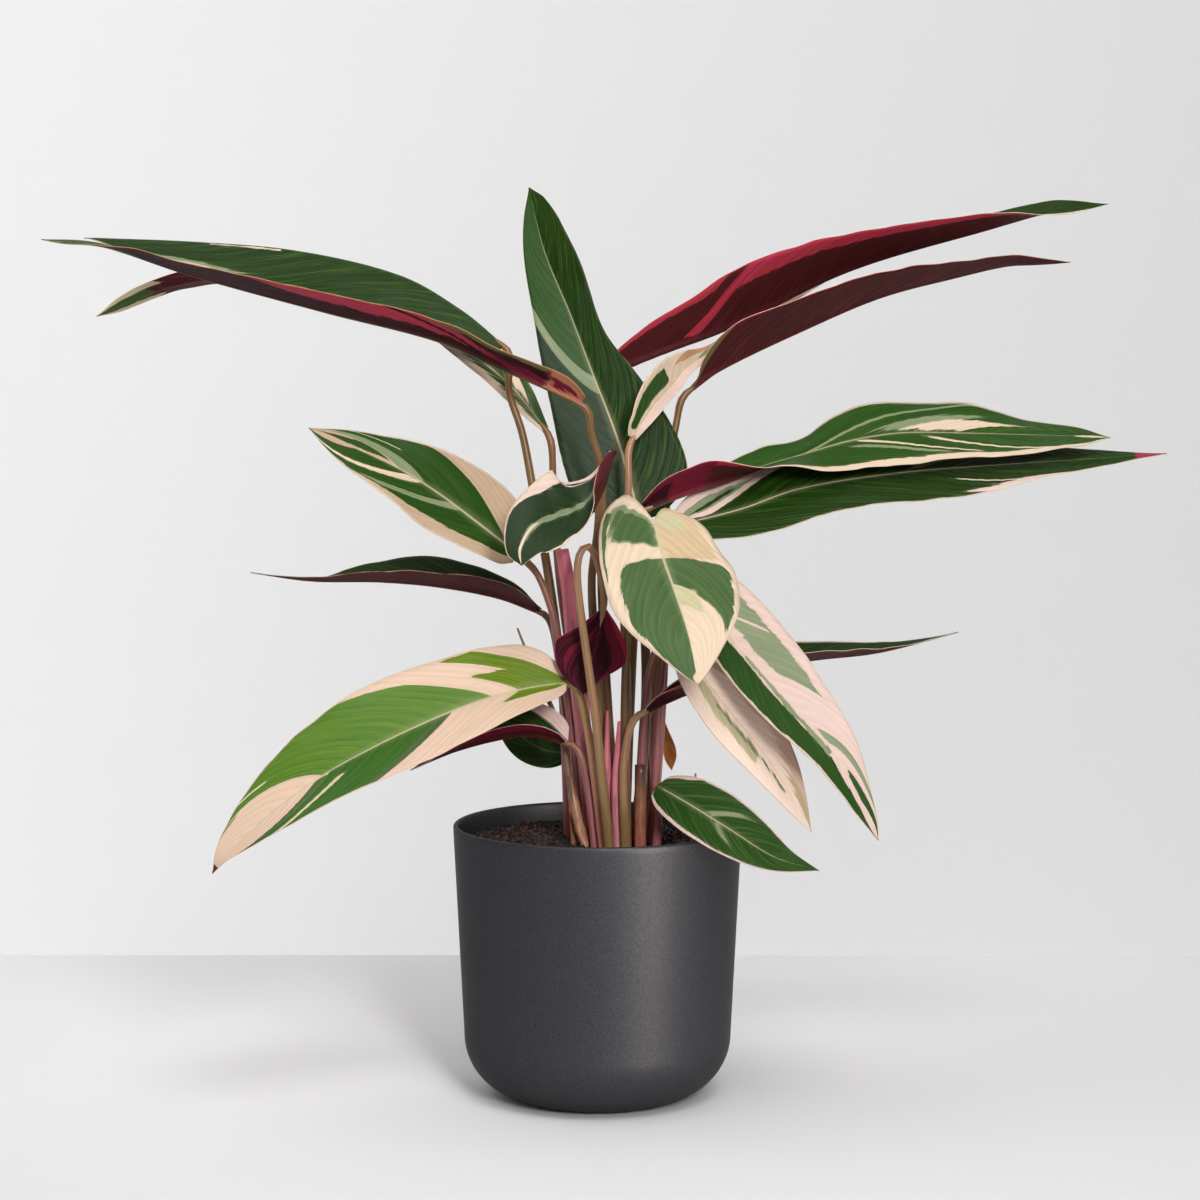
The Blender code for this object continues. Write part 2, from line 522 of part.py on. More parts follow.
def make_stem(leaf, material):
    """Build the stem of one leaf, ending just short of the blade."""
    root = Vector(leaf.rib[0])
    knee = root - (Vector(leaf.rib[1]) - root).normalized() * leaf.knee
    path = (*leaf.stem, leaf.end) if leaf.end else (*leaf.stem, tuple(knee), leaf.rib[0])
    x, y = leaf.stem[0]
    curve = Path([(x, y, SOIL_CENTRE_Z + 2.0), *path[1:]])
    end = 1.0 if leaf.end else 1.0 - STEM_TO_BLADE / curve.length
    name = leaf.name.replace("leaf", "stem")
    rings = max(3, min(9, round(curve.length / 22.0)))
    return make_tube(name, path, leaf.radius, material, rings, end)


def make_lathe(name, profile, segments, material):
    """Turn a closed profile of (radius, height) points about the Z axis.

    The profile runs from the axis at the bottom, up the outside, back to
    the axis.
    """
    points = [(0.0, 0.0, profile[0][1])]
    for radius, height in profile[1:-1]:
        for k in range(segments):
            angle = 2.0 * math.pi * k / segments
            points.append((radius * math.cos(angle), radius * math.sin(angle), height))
    points.append((0.0, 0.0, profile[-1][1]))
    faces = []
    inner = len(profile) - 2
    for k in range(segments):
        n = (k + 1) % segments
        faces.append((0, 1 + n, 1 + k))
        for i in range(inner - 1):
            a = 1 + i * segments
            faces.append((a + k, a + n, a + segments + n, a + segments + k))
        last = 1 + (inner - 1) * segments
        faces.append((last + k, last + n, len(points) - 1))
    return make_object(name, points, faces, material)


def wall_radius(height):
    """Return the pot's outer radius at one height."""
    if height >= POT_CORNER_HEIGHT:
        share = (height - POT_CORNER_HEIGHT) / (POT_HEIGHT - POT_CORNER_HEIGHT)
        return POT_CORNER_TOP_RADIUS + (POT_RIM_RADIUS - POT_CORNER_TOP_RADIUS) * share
    share = 1.0 - height / POT_CORNER_HEIGHT
    reach = POT_CORNER_TOP_RADIUS - POT_FOOT_RADIUS
    return POT_FOOT_RADIUS + reach * math.sqrt(max(1.0 - share * share, 0.0))


def corner_heights(steps):
    """Return heights spread evenly round the pot's lower corner."""
    return [POT_CORNER_HEIGHT * (1.0 - math.cos(math.pi / 2.0 * i / steps)) for i in range(1, steps)]


def make_pot(material):
    """Build the pot: floor, round corner, tapered wall and rolled lip."""
    outside = [(POT_FOOT_RADIUS, 0.0)]
    outside += [(wall_radius(h), h) for h in corner_heights(7)]
    outside += [(wall_radius(POT_CORNER_HEIGHT), POT_CORNER_HEIGHT), (wall_radius(90.0), 90.0)]
    lip = POT_HEIGHT
    outside += [(POT_RIM_RADIUS - 0.1, lip - 1.2), (POT_RIM_RADIUS - 0.5, lip - 0.3), (POT_RIM_RADIUS - 1.2, lip)]
    inside = [(POT_RIM_RADIUS - POT_WALL + 0.5, lip - 0.3), (POT_RIM_RADIUS - POT_WALL, lip - 1.2)]
    inside += [(wall_radius(90.0) - POT_WALL, 90.0)]
    inside += inner_corner(0.0)
    return make_lathe("pot", [(0.0, 0.0), *outside, *inside, (0.0, POT_FLOOR)], POT_SEGMENTS, material)


def inner_corner(gap):
    """Return the profile inside the pot's lower corner, gap inside it."""
    profile = []
    for h in [POT_CORNER_HEIGHT, *reversed(corner_heights(7))]:
        share = h / POT_CORNER_HEIGHT
        inset = POT_WALL + gap
        height = POT_FLOOR + gap + (POT_CORNER_HEIGHT - POT_FLOOR) * share
        profile.append((wall_radius(h) - inset - 1.0 * (1.0 - share), height))
    profile.append((POT_FOOT_RADIUS - 6.0, POT_FLOOR + gap))
    return profile


def make_soil(material, stands):
    """Build the soil and cut the plain holes that the stems stand in."""
    gap = SOIL_GAP
    outside = list(reversed(inner_corner(gap)))
    outside += [(wall_radius(90.0) - POT_WALL - gap, 90.0)]
    edge = wall_radius(SOIL_EDGE_Z) - POT_WALL - gap
    outside += [(edge, SOIL_EDGE_Z)]
    tops = [(r, soil_height(r, 0.0)) for r in (46.0, 24.0)]
    profile = [(0.0, POT_FLOOR + gap), *outside, *tops, (0.0, SOIL_CENTRE_Z)]
    soil = make_lathe("soil", profile, SOIL_SEGMENTS, material)
    for number, (x, y, radius) in enumerate(stands):
        cut_hole(soil, number, x, y, radius + HOLE_GAP)
    return soil


def cut_hole(soil, number, x, y, radius):
    """Cut one upright hole into the soil's top."""
    bottom = SOIL_CENTRE_Z - STEM_DEPTH - HOLE_GAP
    top = SOIL_CENTRE_Z + 10.0
    points = []
    for height in (bottom, top):
        for k in range(STEM_SIDES):
            angle = 2.0 * math.pi * k / STEM_SIDES
            points.append((x + radius * math.cos(angle), y + radius * math.sin(angle), height))
    faces = [tuple(reversed(range(STEM_SIDES))), tuple(range(STEM_SIDES, 2 * STEM_SIDES))]
    for k in range(STEM_SIDES):
        n = (k + 1) % STEM_SIDES
        faces.append((k, n, n + STEM_SIDES, k + STEM_SIDES))
    cutter = make_object(f"hole_{number:02d}", points, faces, soil.data.materials[0])
    cutter.hide_render = True
    cutter.display_type = "WIRE"
    cut = soil.modifiers.new(f"hole_{number:02d}", "BOOLEAN")
    cut.operation = "DIFFERENCE"
    cut.solver = "EXACT"
    cut.object = cutter


def build():
    """Build every piece of the plant and its pot."""
    clear_scene()
    make_pot(make_material("pot_plastic", (0.055, 0.056, 0.060), 0.45, 0.1))
    stands = []
    for number, leaf in enumerate(LEAVES):
        shade = 0.02 * (number % 4)
        dry = leaf.name == "leaf_22"
        green = (0.30, 0.16, 0.05) if dry else (0.03 + shade, 0.12 + shade, 0.03 + shade / 2)
        make_blade(leaf, make_material(f"{leaf.name}_blade", green, 0.45))
        brown = (0.30, 0.17, 0.06) if dry else (0.26, 0.13, 0.07)
        make_stem(leaf, make_material(f"{leaf.name}_stalk", brown, 0.5))
        stands.append((*leaf.stem[0], leaf.radius[0]))
    for stalk in STALKS:
        colour = (0.30, 0.08, 0.10) if stalk.name.startswith("sheath") else (0.22, 0.10, 0.05)
        material = make_material(f"{stalk.name}_skin", colour, 0.55)
        make_tube(stalk.name, stalk.path, stalk.radius, material, 5, 1.0)
        stands.append((*stalk.path[0], stalk.radius[0]))
    make_soil(make_material("soil_peat", (0.035, 0.020, 0.012), 0.95), stands)


build()
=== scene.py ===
"""Dressed model of a stromanthe plant standing in a plain round pot.

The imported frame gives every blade, stem, the soil and the pot its place and
size. This script gives each of them its fine shape and its finish, and adds
the floor, the wall, the lights and the camera. Lengths in the tables are
millimetres, angles are degrees and colours are display values from 0 to 255.
"""

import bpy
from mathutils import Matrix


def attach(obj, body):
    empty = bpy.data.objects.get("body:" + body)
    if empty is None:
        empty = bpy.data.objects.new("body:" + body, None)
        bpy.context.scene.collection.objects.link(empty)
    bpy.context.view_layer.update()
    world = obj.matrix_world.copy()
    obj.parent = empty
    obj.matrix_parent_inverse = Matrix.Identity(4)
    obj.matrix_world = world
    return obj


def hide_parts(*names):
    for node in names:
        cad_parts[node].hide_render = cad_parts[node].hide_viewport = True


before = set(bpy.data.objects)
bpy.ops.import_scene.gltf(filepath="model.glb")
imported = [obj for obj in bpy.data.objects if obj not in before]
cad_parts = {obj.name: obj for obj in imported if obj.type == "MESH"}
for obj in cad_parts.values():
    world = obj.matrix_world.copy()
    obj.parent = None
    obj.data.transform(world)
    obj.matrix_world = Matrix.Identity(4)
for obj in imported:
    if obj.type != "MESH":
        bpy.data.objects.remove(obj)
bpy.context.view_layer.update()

import bisect
import logging
import math
from dataclasses import dataclass, field
from enum import Enum

import bpy
from mathutils import Vector, noise

LOG = logging.getLogger("stromanthe")
MM = 0.001
FULL_TURN = 2.0 * math.pi
BLADE_UV = "blade"
# Side veins lie this many millimetres apart and bend to the tip with this power.
VEIN_SPACING = 9.0
VEIN_BEND = 1.3
# What the layout group tells about each spot of a blade.
FLOW = ("Along", "Lead", "Across", "Side", "Notch", "Drift", "Streak")

Keys = tuple
Colour = tuple


def linear(colour: Colour) -> tuple:
    """Turn a display colour of 0 to 255 into linear red, green, blue, alpha.

    Args:
        colour: red, green and blue from 0 to 255.

    Returns:
        The four linear values that a colour socket takes.
    """
    values = []
    for channel in colour:
        share = channel / 255.0
        values.append(share / 12.92 if share <= 0.04045 else ((share + 0.055) / 1.055) ** 2.4)
    return (*values, 1.0)


class Tint(Enum):
    """Named leaf colours: the upper side's, then the underside's.

    The two turned colours stand for a tip that twists its upper side down.
    """

    DARK = ((26, 48, 8), (70, 24, 26))
    DEEP = ((33, 49, 27), (72, 30, 32))
    FERN = ((38, 68, 20), (72, 28, 30))
    MID = ((54, 92, 28), (84, 40, 38))
    GREEN = ((78, 112, 34), (82, 38, 38))
    SOFT = ((68, 90, 52), (80, 36, 36))
    BRIGHT = ((90, 114, 6), (92, 40, 40))
    SAGE = ((120, 130, 98), (114, 46, 54))
    PALE = ((178, 170, 134), (132, 80, 70))
    CREAM = ((204, 182, 158), (164, 48, 66))
    PINK = ((204, 178, 168), (164, 50, 68))
    PEACH = ((204, 176, 154), (170, 90, 78))
    SAND = ((178, 152, 126), (158, 84, 72))
    BLUSH = ((234, 210, 192), (164, 50, 68))
    BUTTER = ((186, 162, 128), (158, 72, 76))
    ROSE = ((184, 92, 104), (150, 34, 56))
    CHERRY = ((140, 46, 62), (100, 24, 42))
    WINE = ((76, 24, 32), (48, 14, 22))
    TAN = ((180, 136, 98), (160, 104, 76))
    DRY = ((150, 88, 38), (140, 80, 36))
    OLIVE = ((112, 108, 58), (100, 90, 58))
    MAROON = ((88, 34, 40), (70, 26, 30))
    TURNED = ((52, 84, 34), (60, 86, 44))
    TURNED_PALE = ((200, 182, 152), (196, 180, 148))


class Side(Enum):
    """Which half of a blade a patch lies on, seen from above, tip ahead."""

    LEFT = -1.0
    BOTH = 0.0
    RIGHT = 1.0


@dataclass(frozen=True)
class Patch:
    """A coloured patch between two side veins of a blade.

    Attributes:
        tint: the patch's colour.
        side: the half it lies on.
        start, end: where its first and last veins leave the midrib, 0 base to 1 tip.
        inner, outer: how far out it reaches, 0 midrib to 1 margin.
        inner_end, outer_end: the same at its end, where that differs.
        lean: 0 where its ends follow the veins, 1 where they lie square to the midrib.
        ragged: how uneven its edges are.
        rounded: how round its corners are, in millimetres.
    """

    tint: Tint
    side: Side
    start: float
    end: float
    inner: float = -0.3
    outer: float = 1.5
    inner_end: float | None = None
    outer_end: float | None = None
    lean: float = 0.0
    ragged: float = 0.3
    rounded: float = 2.5


@dataclass(frozen=True)
class BladeLook:
    """The pattern of one blade.

    Attributes:
        base: colour of the blade where no patch lies.
        patches: patches, each over the ones before it.
        streak: colour of the soft streaks along the side veins.
        streaks: how strongly the streaks show, 0 to 1.
        midrib: colour of the midrib's line.
        rib_width: half width of the midrib's line at the base, in millimetres.
        margin: colour of the thin line along the edge.
        margin_width: its width as a share of the half blade.
        vein_lean: how far a side vein runs ahead, as a share of the half width.
    """

    base: Tint = Tint.DARK
    patches: tuple = ()
    streak: Tint = Tint.MID
    streaks: float = 0.25
    midrib: Tint = Tint.PALE
    rib_width: float = 0.7
    margin: Tint = Tint.CREAM
    margin_width: float = 0.02
    vein_lean: float = 1.75


@dataclass(frozen=True)
class BladeShape:
    """One blade with the stem that carries it.

    Attributes:
        name: name of the CAD node.
        rib: points of the midrib from the blade's base to its tip.
        belly: where along the rib the blade is widest, 0 base to 1 tip.
        facing: (place, direction) pairs, the way the upper side faces.
        fold_left, fold_right: (place, angle) pairs, how far each half rises.
        stem: points from the soil up to the knee.
        radius: the stem's radius at the soil and at the blade.
        left, right: widest half widths of an even outline, seen from above, tip ahead.
        curl_left, curl_right: further bend of each half out to its edge.
        edge_left, edge_right: (place, half width) pairs for an uneven outline.
        wave: height of the edge waves, their number and their phase.
        lobe: how far the left and right base corners reach back past the stem's end.
        knee: length of the stem's end that lies in line with the midrib.
        end: where the stem meets the underside, if not at the blade's base.
        ripple: height of the fine ripples along the margin.
    """

    name: str
    rib: tuple
    belly: float
    facing: Keys
    fold_left: Keys
    fold_right: Keys
    stem: tuple
    radius: tuple = (3.0, 1.7)
    left: float = 0.0
    right: float = 0.0
    curl_left: Keys = ((0.0, 0.0),)
    curl_right: Keys = ((0.0, 0.0),)
    edge_left: Keys = ()
    edge_right: Keys = ()
    wave: tuple = (0.0, 2.0, 0.0)
    lobe: tuple = (0.0, 0.0)
    knee: float = 5.0
    end: tuple = ()
    ripple: float = 0.5


BLADES = (
    # Long leaf held out to the upper left, both halves drooping.
    BladeShape("leaf_01",
        rib=((-48, 8, 389), (-70, 14, 407), (-102, 22, 425), (-156, 30, 438), (-213, 34, 443),
            (-268, 34, 445)),
        right=26, belly=0.42,
        edge_left=((0.0, 5), (0.06, 15), (0.2, 24), (0.42, 26), (0.65, 22), (0.82, 15), (0.93, 8),
            (1.0, 0)),
        facing=((0.0, (0.0, -0.25, 1.0)), (1.0, (0.0, -0.2, 1.0))),
        fold_left=((0.0, -30), (0.5, -30), (1.0, -10)), fold_right=((0.0, -50), (0.5, -40), (1.0, -10)),
        curl_left=((0.0, -25),), curl_right=((0.0, -25),), wave=(1.5, 3.0, 0.4),
        stem=((-10, -4), (-17, -5, 209), (-25, -4, 270), (-33, -2, 315), (-39, 2, 346), (-46, 5, 367))),
    # Narrow leaf below it, its underside turned to the front.
    BladeShape("leaf_02",
        rib=((-8, -26, 360), (-29, -27, 370), (-50, -27, 379), (-80, -25, 392), (-136, -20, 406),
            (-207, -12, 425), (-254, -6, 440), (-283, -4, 443)),
        right=17, belly=0.4,
        edge_left=((0.0, 6), (0.03, 10), (0.08, 12), (0.2, 15), (0.4, 20), (0.6, 19.5), (0.8, 13),
            (0.93, 6), (1.0, 0)),
        facing=((0.0, (0.0, 0.3, 0.95)), (0.8, (0.0, 0.2, 1.0)), (1.0, (0.0, -0.5, 0.9))),
        fold_left=((0.0, 40), (0.15, 20), (0.8, 10), (1.0, 0)),
        fold_right=((0.0, 50), (0.5, 45), (1.0, 10)),
        stem=((10, -14), (5, -17, 209), (2, -22, 270), (2, -24, 327), (-4, -25, 348)), radius=(2.7, 1.7)),
    # Third long leaf on the left, seen at its root and its tip.
    BladeShape("leaf_03",
        rib=((-27, 12, 346), (-44, 20, 367), (-66, 30, 385), (-84, 44, 396), (-141, 68, 416),
            (-195, 82, 425), (-234, 86, 420), (-271, 86, 405)),
        belly=0.4,
        edge_left=((0.0, 2), (0.1, 9), (0.25, 13), (0.45, 14), (0.7, 11), (0.85, 7.5), (0.95, 4.5),
            (1.0, 0)),
        edge_right=((0.0, 2), (0.1, 9), (0.25, 14), (0.45, 16), (0.7, 11), (0.85, 7.5), (0.95, 4.5),
            (1.0, 0)),
        facing=((0.0, (-0.3, -0.6, 0.8)), (0.3, (0.0, -0.2, 1.0)), (0.7, (0.0, 0.5, 0.9)),
            (1.0, (-0.2, 0.7, 0.6))),
        fold_left=((0.0, 10), (1.0, 15)), fold_right=((0.0, 10), (1.0, 20)),
        stem=((-5, 5), (-11, 5, 206), (-20, 8, 272), (-23, 11, 320)), radius=(2.7, 1.7)),
    # Tall upright leaf.
    BladeShape("leaf_04",
        rib=((22, 8, 299), (11, 18, 339), (-3, 28, 376), (-14, 34, 405), (-28, 42, 439), (-36, 48, 472)),
        belly=0.26,
        edge_left=((0.0, 12), (0.08, 28), (0.2, 32), (0.4, 27), (0.6, 20.5), (0.8, 12), (0.92, 6),
            (1.0, 0)),
        edge_right=((0.0, 12), (0.06, 27), (0.16, 31), (0.38, 22), (0.55, 13.5), (0.75, 16), (0.88, 13),
            (0.96, 7), (1.0, 0)),
        facing=((0.0, (0.1, -1.0, 0.2)), (1.0, (-0.2, -1.0, 0.3))), fold_left=((0.0, 8), (1.0, 12)),
        fold_right=((0.0, 8), (1.0, 12)), stem=((14, 3), (17, 4, 206), (20, 6, 258))),
    # Narrow cream leaf rising to the right between its neighbours.
    BladeShape("leaf_05",
        rib=((18, -8, 342), (22, -7, 349), (30, 5, 360), (39, 20, 369), (46, 33, 377), (63, 56, 388),
            (79, 72, 399), (121, 98, 424), (158, 118, 440)),
        belly=0.4,
        edge_left=((0.0, 3), (0.07, 12), (0.2, 15), (0.3, 9), (0.38, 4.5), (0.45, 3), (0.55, 4),
            (0.65, 5), (0.85, 4), (1.0, 0)),
        edge_right=((0.0, 2), (0.1, 7), (0.24, 5), (0.35, 4), (0.6, 4), (1.0, 0)),
        facing=((0.0, (0.3, -0.8, 0.5)), (1.0, (0.3, -0.7, 0.6))), fold_left=((0.0, 40),),
        fold_right=((0.0, 45),), stem=((13, -8), (15, -8, 207), (13, -12, 280), (16, -12, 318)),
        radius=(2.8, 1.6)),
    # Two long leaves to the upper right, undersides to the front.
    BladeShape("leaf_06",
        rib=((0, 50, 371), (20, 51, 380), (38, 52, 387), (68, 56, 398), (134, 64, 429), (209, 68, 451),
            (246, 66, 461), (271, 62, 464)),
        belly=0.34,
        edge_left=((0.0, 4), (0.15, 16), (0.4, 20), (0.7, 15), (0.85, 8.5), (0.95, 4.5), (1.0, 0)),
        edge_right=((0.0, 5), (0.1, 15), (0.2, 24), (0.3, 31), (0.4, 30), (0.5, 27), (0.62, 24),
            (0.8, 16), (0.92, 8), (1.0, 0)),
        facing=((0.0, (0.0, 0.5, 0.87)), (0.75, (0.0, 0.3, 0.95)), (1.0, (0.0, -0.5, 0.8))),
        fold_left=((0.0, 65), (0.7, 65), (0.88, 55), (1.0, 10)),
        fold_right=((0.0, 45), (0.35, 32), (0.7, 15), (1.0, 0)),
        stem=((12, 18), (17, 26, 203), (15, 36, 276), (3, 46, 342))),
    BladeShape("leaf_07",
        rib=((48, 34, 366), (64, 40, 377), (107, 52, 397), (151, 64, 415), (194, 74, 426), (222, 80, 432),
            (255, 84, 434)),
        left=20, belly=0.36,
        edge_right=((0.0, 2), (0.03, 5), (0.06, 12), (0.12, 22), (0.2, 27), (0.35, 27), (0.6, 22),
            (0.85, 12), (0.95, 5), (1.0, 0)),
        facing=((0.0, (0.0, 0.5, 0.87)), (1.0, (0.0, 0.3, 0.9))), fold_left=((0.0, 30), (1.0, 20)),
        fold_right=((0.0, 25), (0.3, 12), (1.0, 5)),
        stem=((24, 12), (29, 18, 204), (34, 24, 277), (38, 29, 330), (42, 32, 352))),
    # Right-hand pair at mid height.
    BladeShape("leaf_08",
        rib=((24, -10, 306), (36, -9, 310.5), (48, -8, 315), (66, -5, 320.5), (84, -2, 327),
            (105, 2, 333), (130, 6, 340), (156, 8, 344), (187, 8, 344), (264, 4, 342)),
        belly=0.52,
        edge_left=((0.0, 4), (0.1, 8), (0.27, 13), (0.38, 17), (0.5, 25), (0.68, 27), (0.84, 15),
            (0.94, 8), (1.0, 0)),
        edge_right=((0.0, 5), (0.05, 12), (0.15, 17), (0.27, 20), (0.4, 25), (0.55, 27), (0.7, 25),
            (0.85, 18), (0.94, 10), (1.0, 0)),
        facing=((0.0, (0.0, 0.6, 0.8)), (0.12, (0.0, 0.5, 0.87)), (0.27, (0.0, 0.0, 1.0)),
            (0.45, (0.0, -0.55, 0.85)), (1.0, (0.0, -0.4, 0.9))),
        fold_left=((0.0, 70), (0.12, 85), (0.2, 62), (0.27, 35), (0.4, 5), (1.0, 5)),
        fold_right=((0.0, 25), (0.12, 25), (0.27, 0), (1.0, 0)), wave=(1.4, 4.5, 0.0),
        stem=((20, -10), (25, -12, 208), (23, -12, 262), (19, -11, 290)), radius=(3.0, 2.0)),
    BladeShape("leaf_09",
        rib=((40, -21, 298), (73, -16, 306), (103, -10, 316), (155, -4, 324), (207, 0, 328),
            (253, 0, 331), (292, -2, 334)),
        belly=0.36,
        edge_left=((0.0, 9), (0.04, 18), (0.12, 25), (0.35, 27), (0.6, 22), (0.8, 12), (0.93, 4),
            (1.0, 0)),
        edge_right=((0.0, 8), (0.05, 18), (0.15, 25), (0.35, 28), (0.55, 28), (0.7, 22), (0.82, 12),
            (0.93, 4), (1.0, 0)),
        facing=((0.0, (0.0, -0.5, 0.87)), (1.0, (0.0, -0.4, 0.9))), fold_left=((0.0, 10), (1.0, 5)),
        fold_right=((0.0, 0),), wave=(1.2, 2.5, 1.0),
        stem=((28, -14), (33, -17, 209), (35, -17, 255), (36, -19, 281)), radius=(2.8, 1.9)),
    # Left-hand leaf at mid height, its face to the front.
    BladeShape("leaf_10",
        rib=((-41, -12, 283), (-62, -18, 300), (-80, -22, 314), (-100, -26, 327), (-125, -30, 339),
            (-145, -32, 348)),
        belly=0.38,
        edge_left=((0.0, 6), (0.05, 12), (0.2, 18), (0.4, 22), (0.6, 21), (0.75, 16), (0.88, 9),
            (1.0, 0)),
        edge_right=((0.0, 8), (0.05, 20), (0.2, 27), (0.4, 25), (0.6, 18), (0.8, 11), (1.0, 0)),
        facing=((0.0, (0.0, -0.75, 0.66)), (1.0, (0.0, -0.75, 0.66))), fold_left=((0.0, 5),),
        fold_right=((0.0, 5),), wave=(1.5, 2.0, 0.0),
        stem=((-8, -12), (-14, -13, 200), (-22, -14, 249), (-31, -12, 274)), radius=(2.6, 1.6)),
    # Small leaf in front, one half rolled over at its root.
    BladeShape("leaf_11",
        rib=((8, -34, 336), (1, -40, 321), (-7, -46, 310), (-19, -54, 305), (-31, -64, 300),
            (-37, -72, 290), (-37, -76, 282)),
        belly=0.55,
        edge_left=((0.0, 6), (0.2, 18), (0.45, 21), (0.7, 20), (0.82, 18), (0.92, 11), (1.0, 0)),
        edge_right=((0.0, 2), (0.2, 7), (0.3, 15), (0.4, 23), (0.5, 23), (0.65, 19), (0.8, 13), (0.93, 7),
            (1.0, 0)),
        facing=((0.0, (-0.3, -0.9, 0.1)), (1.0, (-0.2, -0.9, 0.3))),
        fold_left=((0.0, 20), (0.6, 5), (1.0, 0)), fold_right=((0.0, 10),),
        curl_left=((0.0, 150), (0.35, 130), (0.6, 60), (0.8, 0)), curl_right=((0.0, -15),),
        stem=((4, -18), (1, -25, 209), (-3, -28, 270), (0, -29, 296)), end=(1.1, -38.5, 319.2)),
    # Thin leaf to the left, keeled like a boat.
    BladeShape("leaf_12",
        rib=((-30, 8, 252), (-51, 14, 259), (-82, 20, 264), (-114, 26, 266), (-151, 30, 266),
            (-183, 34, 270)),
        belly=0.33,
        edge_left=((0.0, 7), (0.04, 13), (0.12, 16), (0.3, 17), (0.55, 14), (0.75, 8.5), (0.9, 5.5),
            (1.0, 0)),
        edge_right=((0.0, 3), (0.1, 9), (0.25, 15), (0.42, 19), (0.6, 13), (0.75, 5), (1.0, 0)),
        facing=((0.0, (0.0, 0.0, 1.0)),), fold_left=((0.0, 35), (1.0, 20)),
        fold_right=((0.0, 55), (1.0, 35)), stem=((-15, 4), (-18, 3, 206), (-20, 4, 225), (-22.5, 5, 240)),
        radius=(2.6, 1.6)),
    # Large leaf to the lower left.
    BladeShape("leaf_13",
        rib=((-16, -31, 219), (-39, -38, 216), (-64, -49, 210), (-108, -64, 192), (-146, -76, 171),
            (-183, -84, 140), (-189, -84, 131)),
        left=28, belly=0.42,
        edge_right=((0.0, 8), (0.04, 18), (0.12, 25), (0.4, 31), (0.62, 27), (0.8, 19), (0.92, 9),
            (1.0, 0)),
        facing=((0.0, (-0.1, -0.6, 0.8)), (1.0, (-0.3, -0.7, 0.7))), fold_left=((0.0, 10), (1.0, 10)),
        fold_right=((0.0, 35), (0.3, 25), (1.0, 15)), wave=(1.0, 2.0, 0.0),
        stem=((3, -33), (-1, -34, 169), (-5, -34, 196)), radius=(2.6, 1.8)),
    # Two small leaves behind it.
    BladeShape("leaf_14",
        rib=((-15, -27, 188), (-28, -26, 191), (-42, -24, 191), (-71, -19, 183), (-96, -14, 172)),
        left=13, right=19, belly=0.35, facing=((0.0, (0.0, -0.2, 1.0)),),
        fold_left=((0.0, 45), (1.0, 30)), fold_right=((0.0, 55), (1.0, 40)),
        stem=((-1, -27), (-4, -29, 160), (-7, -29, 176)), radius=(2.6, 1.7)),
    BladeShape("leaf_15",
        rib=((-13, 18, 177), (-27, 22, 177), (-42, 27, 185), (-53, 32, 196)), left=11, right=12,
        belly=0.45, facing=((0.0, (0.0, -0.9, 0.4)),), fold_left=((0.0, 5),), fold_right=((0.0, 5),),
        stem=((-6, 15), (-5, 15, 160)), radius=(2.4, 1.5)),
    # Small leaf hanging behind its own arched stem, underside to the front.
    BladeShape("leaf_16",
        rib=((3, -38, 257), (0, -38, 241), (-4, -38, 227), (-7, -38, 214)), belly=0.45,
        edge_left=((0.0, 1.5), (0.22, 10), (0.48, 20), (0.66, 19), (0.86, 12), (1.0, 0)),
        edge_right=((0.0, 2), (0.2, 10), (0.42, 16), (0.56, 16), (0.8, 7), (1.0, 0)),
        facing=((0.0, (0.1, 1.0, 0.1)),), fold_left=((0.0, 8),), fold_right=((0.0, 12),),
        stem=((6, -40.5), (-1, -47, 204), (-5, -48, 233), (-10, -48, 272), (-9, -47, 287), (-4, -43, 291),
            (1, -40, 277)),
        radius=(2.6, 1.6)),
    # Broad leaf hanging to the front.
    BladeShape("leaf_17",
        rib=((28, -50, 302), (32, -68, 286), (38, -86, 269), (44, -106, 250), (48, -122, 229)),
        belly=0.42,
        edge_left=((0.0, 9), (0.05, 22), (0.15, 28), (0.4, 33), (0.65, 27), (0.85, 13), (0.95, 5),
            (1.0, 0)),
        edge_right=((0.0, 12), (0.02, 18), (0.06, 24), (0.15, 29), (0.4, 33), (0.65, 28), (0.85, 14),
            (0.95, 6), (1.0, 0)),
        facing=((0.0, (0.1, -0.5, 0.85)), (1.0, (0.0, -0.8, 0.5))), wave=(1.2, 3.0, 0.5),
        fold_left=((0.0, 5),), fold_right=((0.0, 5),), curl_left=((0.0, -15),), curl_right=((0.0, -15),),
        lobe=(10.0, 20.0), stem=((15, -30), (14, -31, 209), (17, -35, 268), (23, -43, 287)),
        end=(28.5, -52.8, 297.4), radius=(2.6, 1.8)),
    # Two leaves drooping to the lower right.
    BladeShape("leaf_18",
        rib=((46, -36, 271), (65, -46, 246), (92, -60, 216), (116, -72, 190), (129, -78, 166),
            (138, -82, 147)),
        right=18, belly=0.42,
        edge_left=((0.0, 9), (0.06, 20), (0.2, 25), (0.4, 24), (0.65, 16), (0.85, 8), (0.95, 4),
            (1.0, 0)),
        facing=((0.0, (0.3, -0.9, 0.4)),), fold_left=((0.0, 5),), fold_right=((0.0, 10),),
        stem=((29, -23), (31, -23, 200), (34, -25, 238), (38, -29, 262)), radius=(2.6, 1.8)),
    BladeShape("leaf_19",
        rib=((41, -40, 247), (51, -43, 227), (66, -48, 207), (84, -52, 185), (98, -55, 163),
            (107, -56, 147)),
        left=17, right=17, belly=0.42, facing=((0.0, (0.2, -0.95, 0.3)),), fold_left=((0.0, 25),),
        fold_right=((0.0, 20),), stem=((21, -26), (23, -25, 191), (26, -27, 222), (31, -33, 240)),
        radius=(2.6, 1.6)),
    # Thin keeled leaf running out to the right.
    BladeShape("leaf_20",
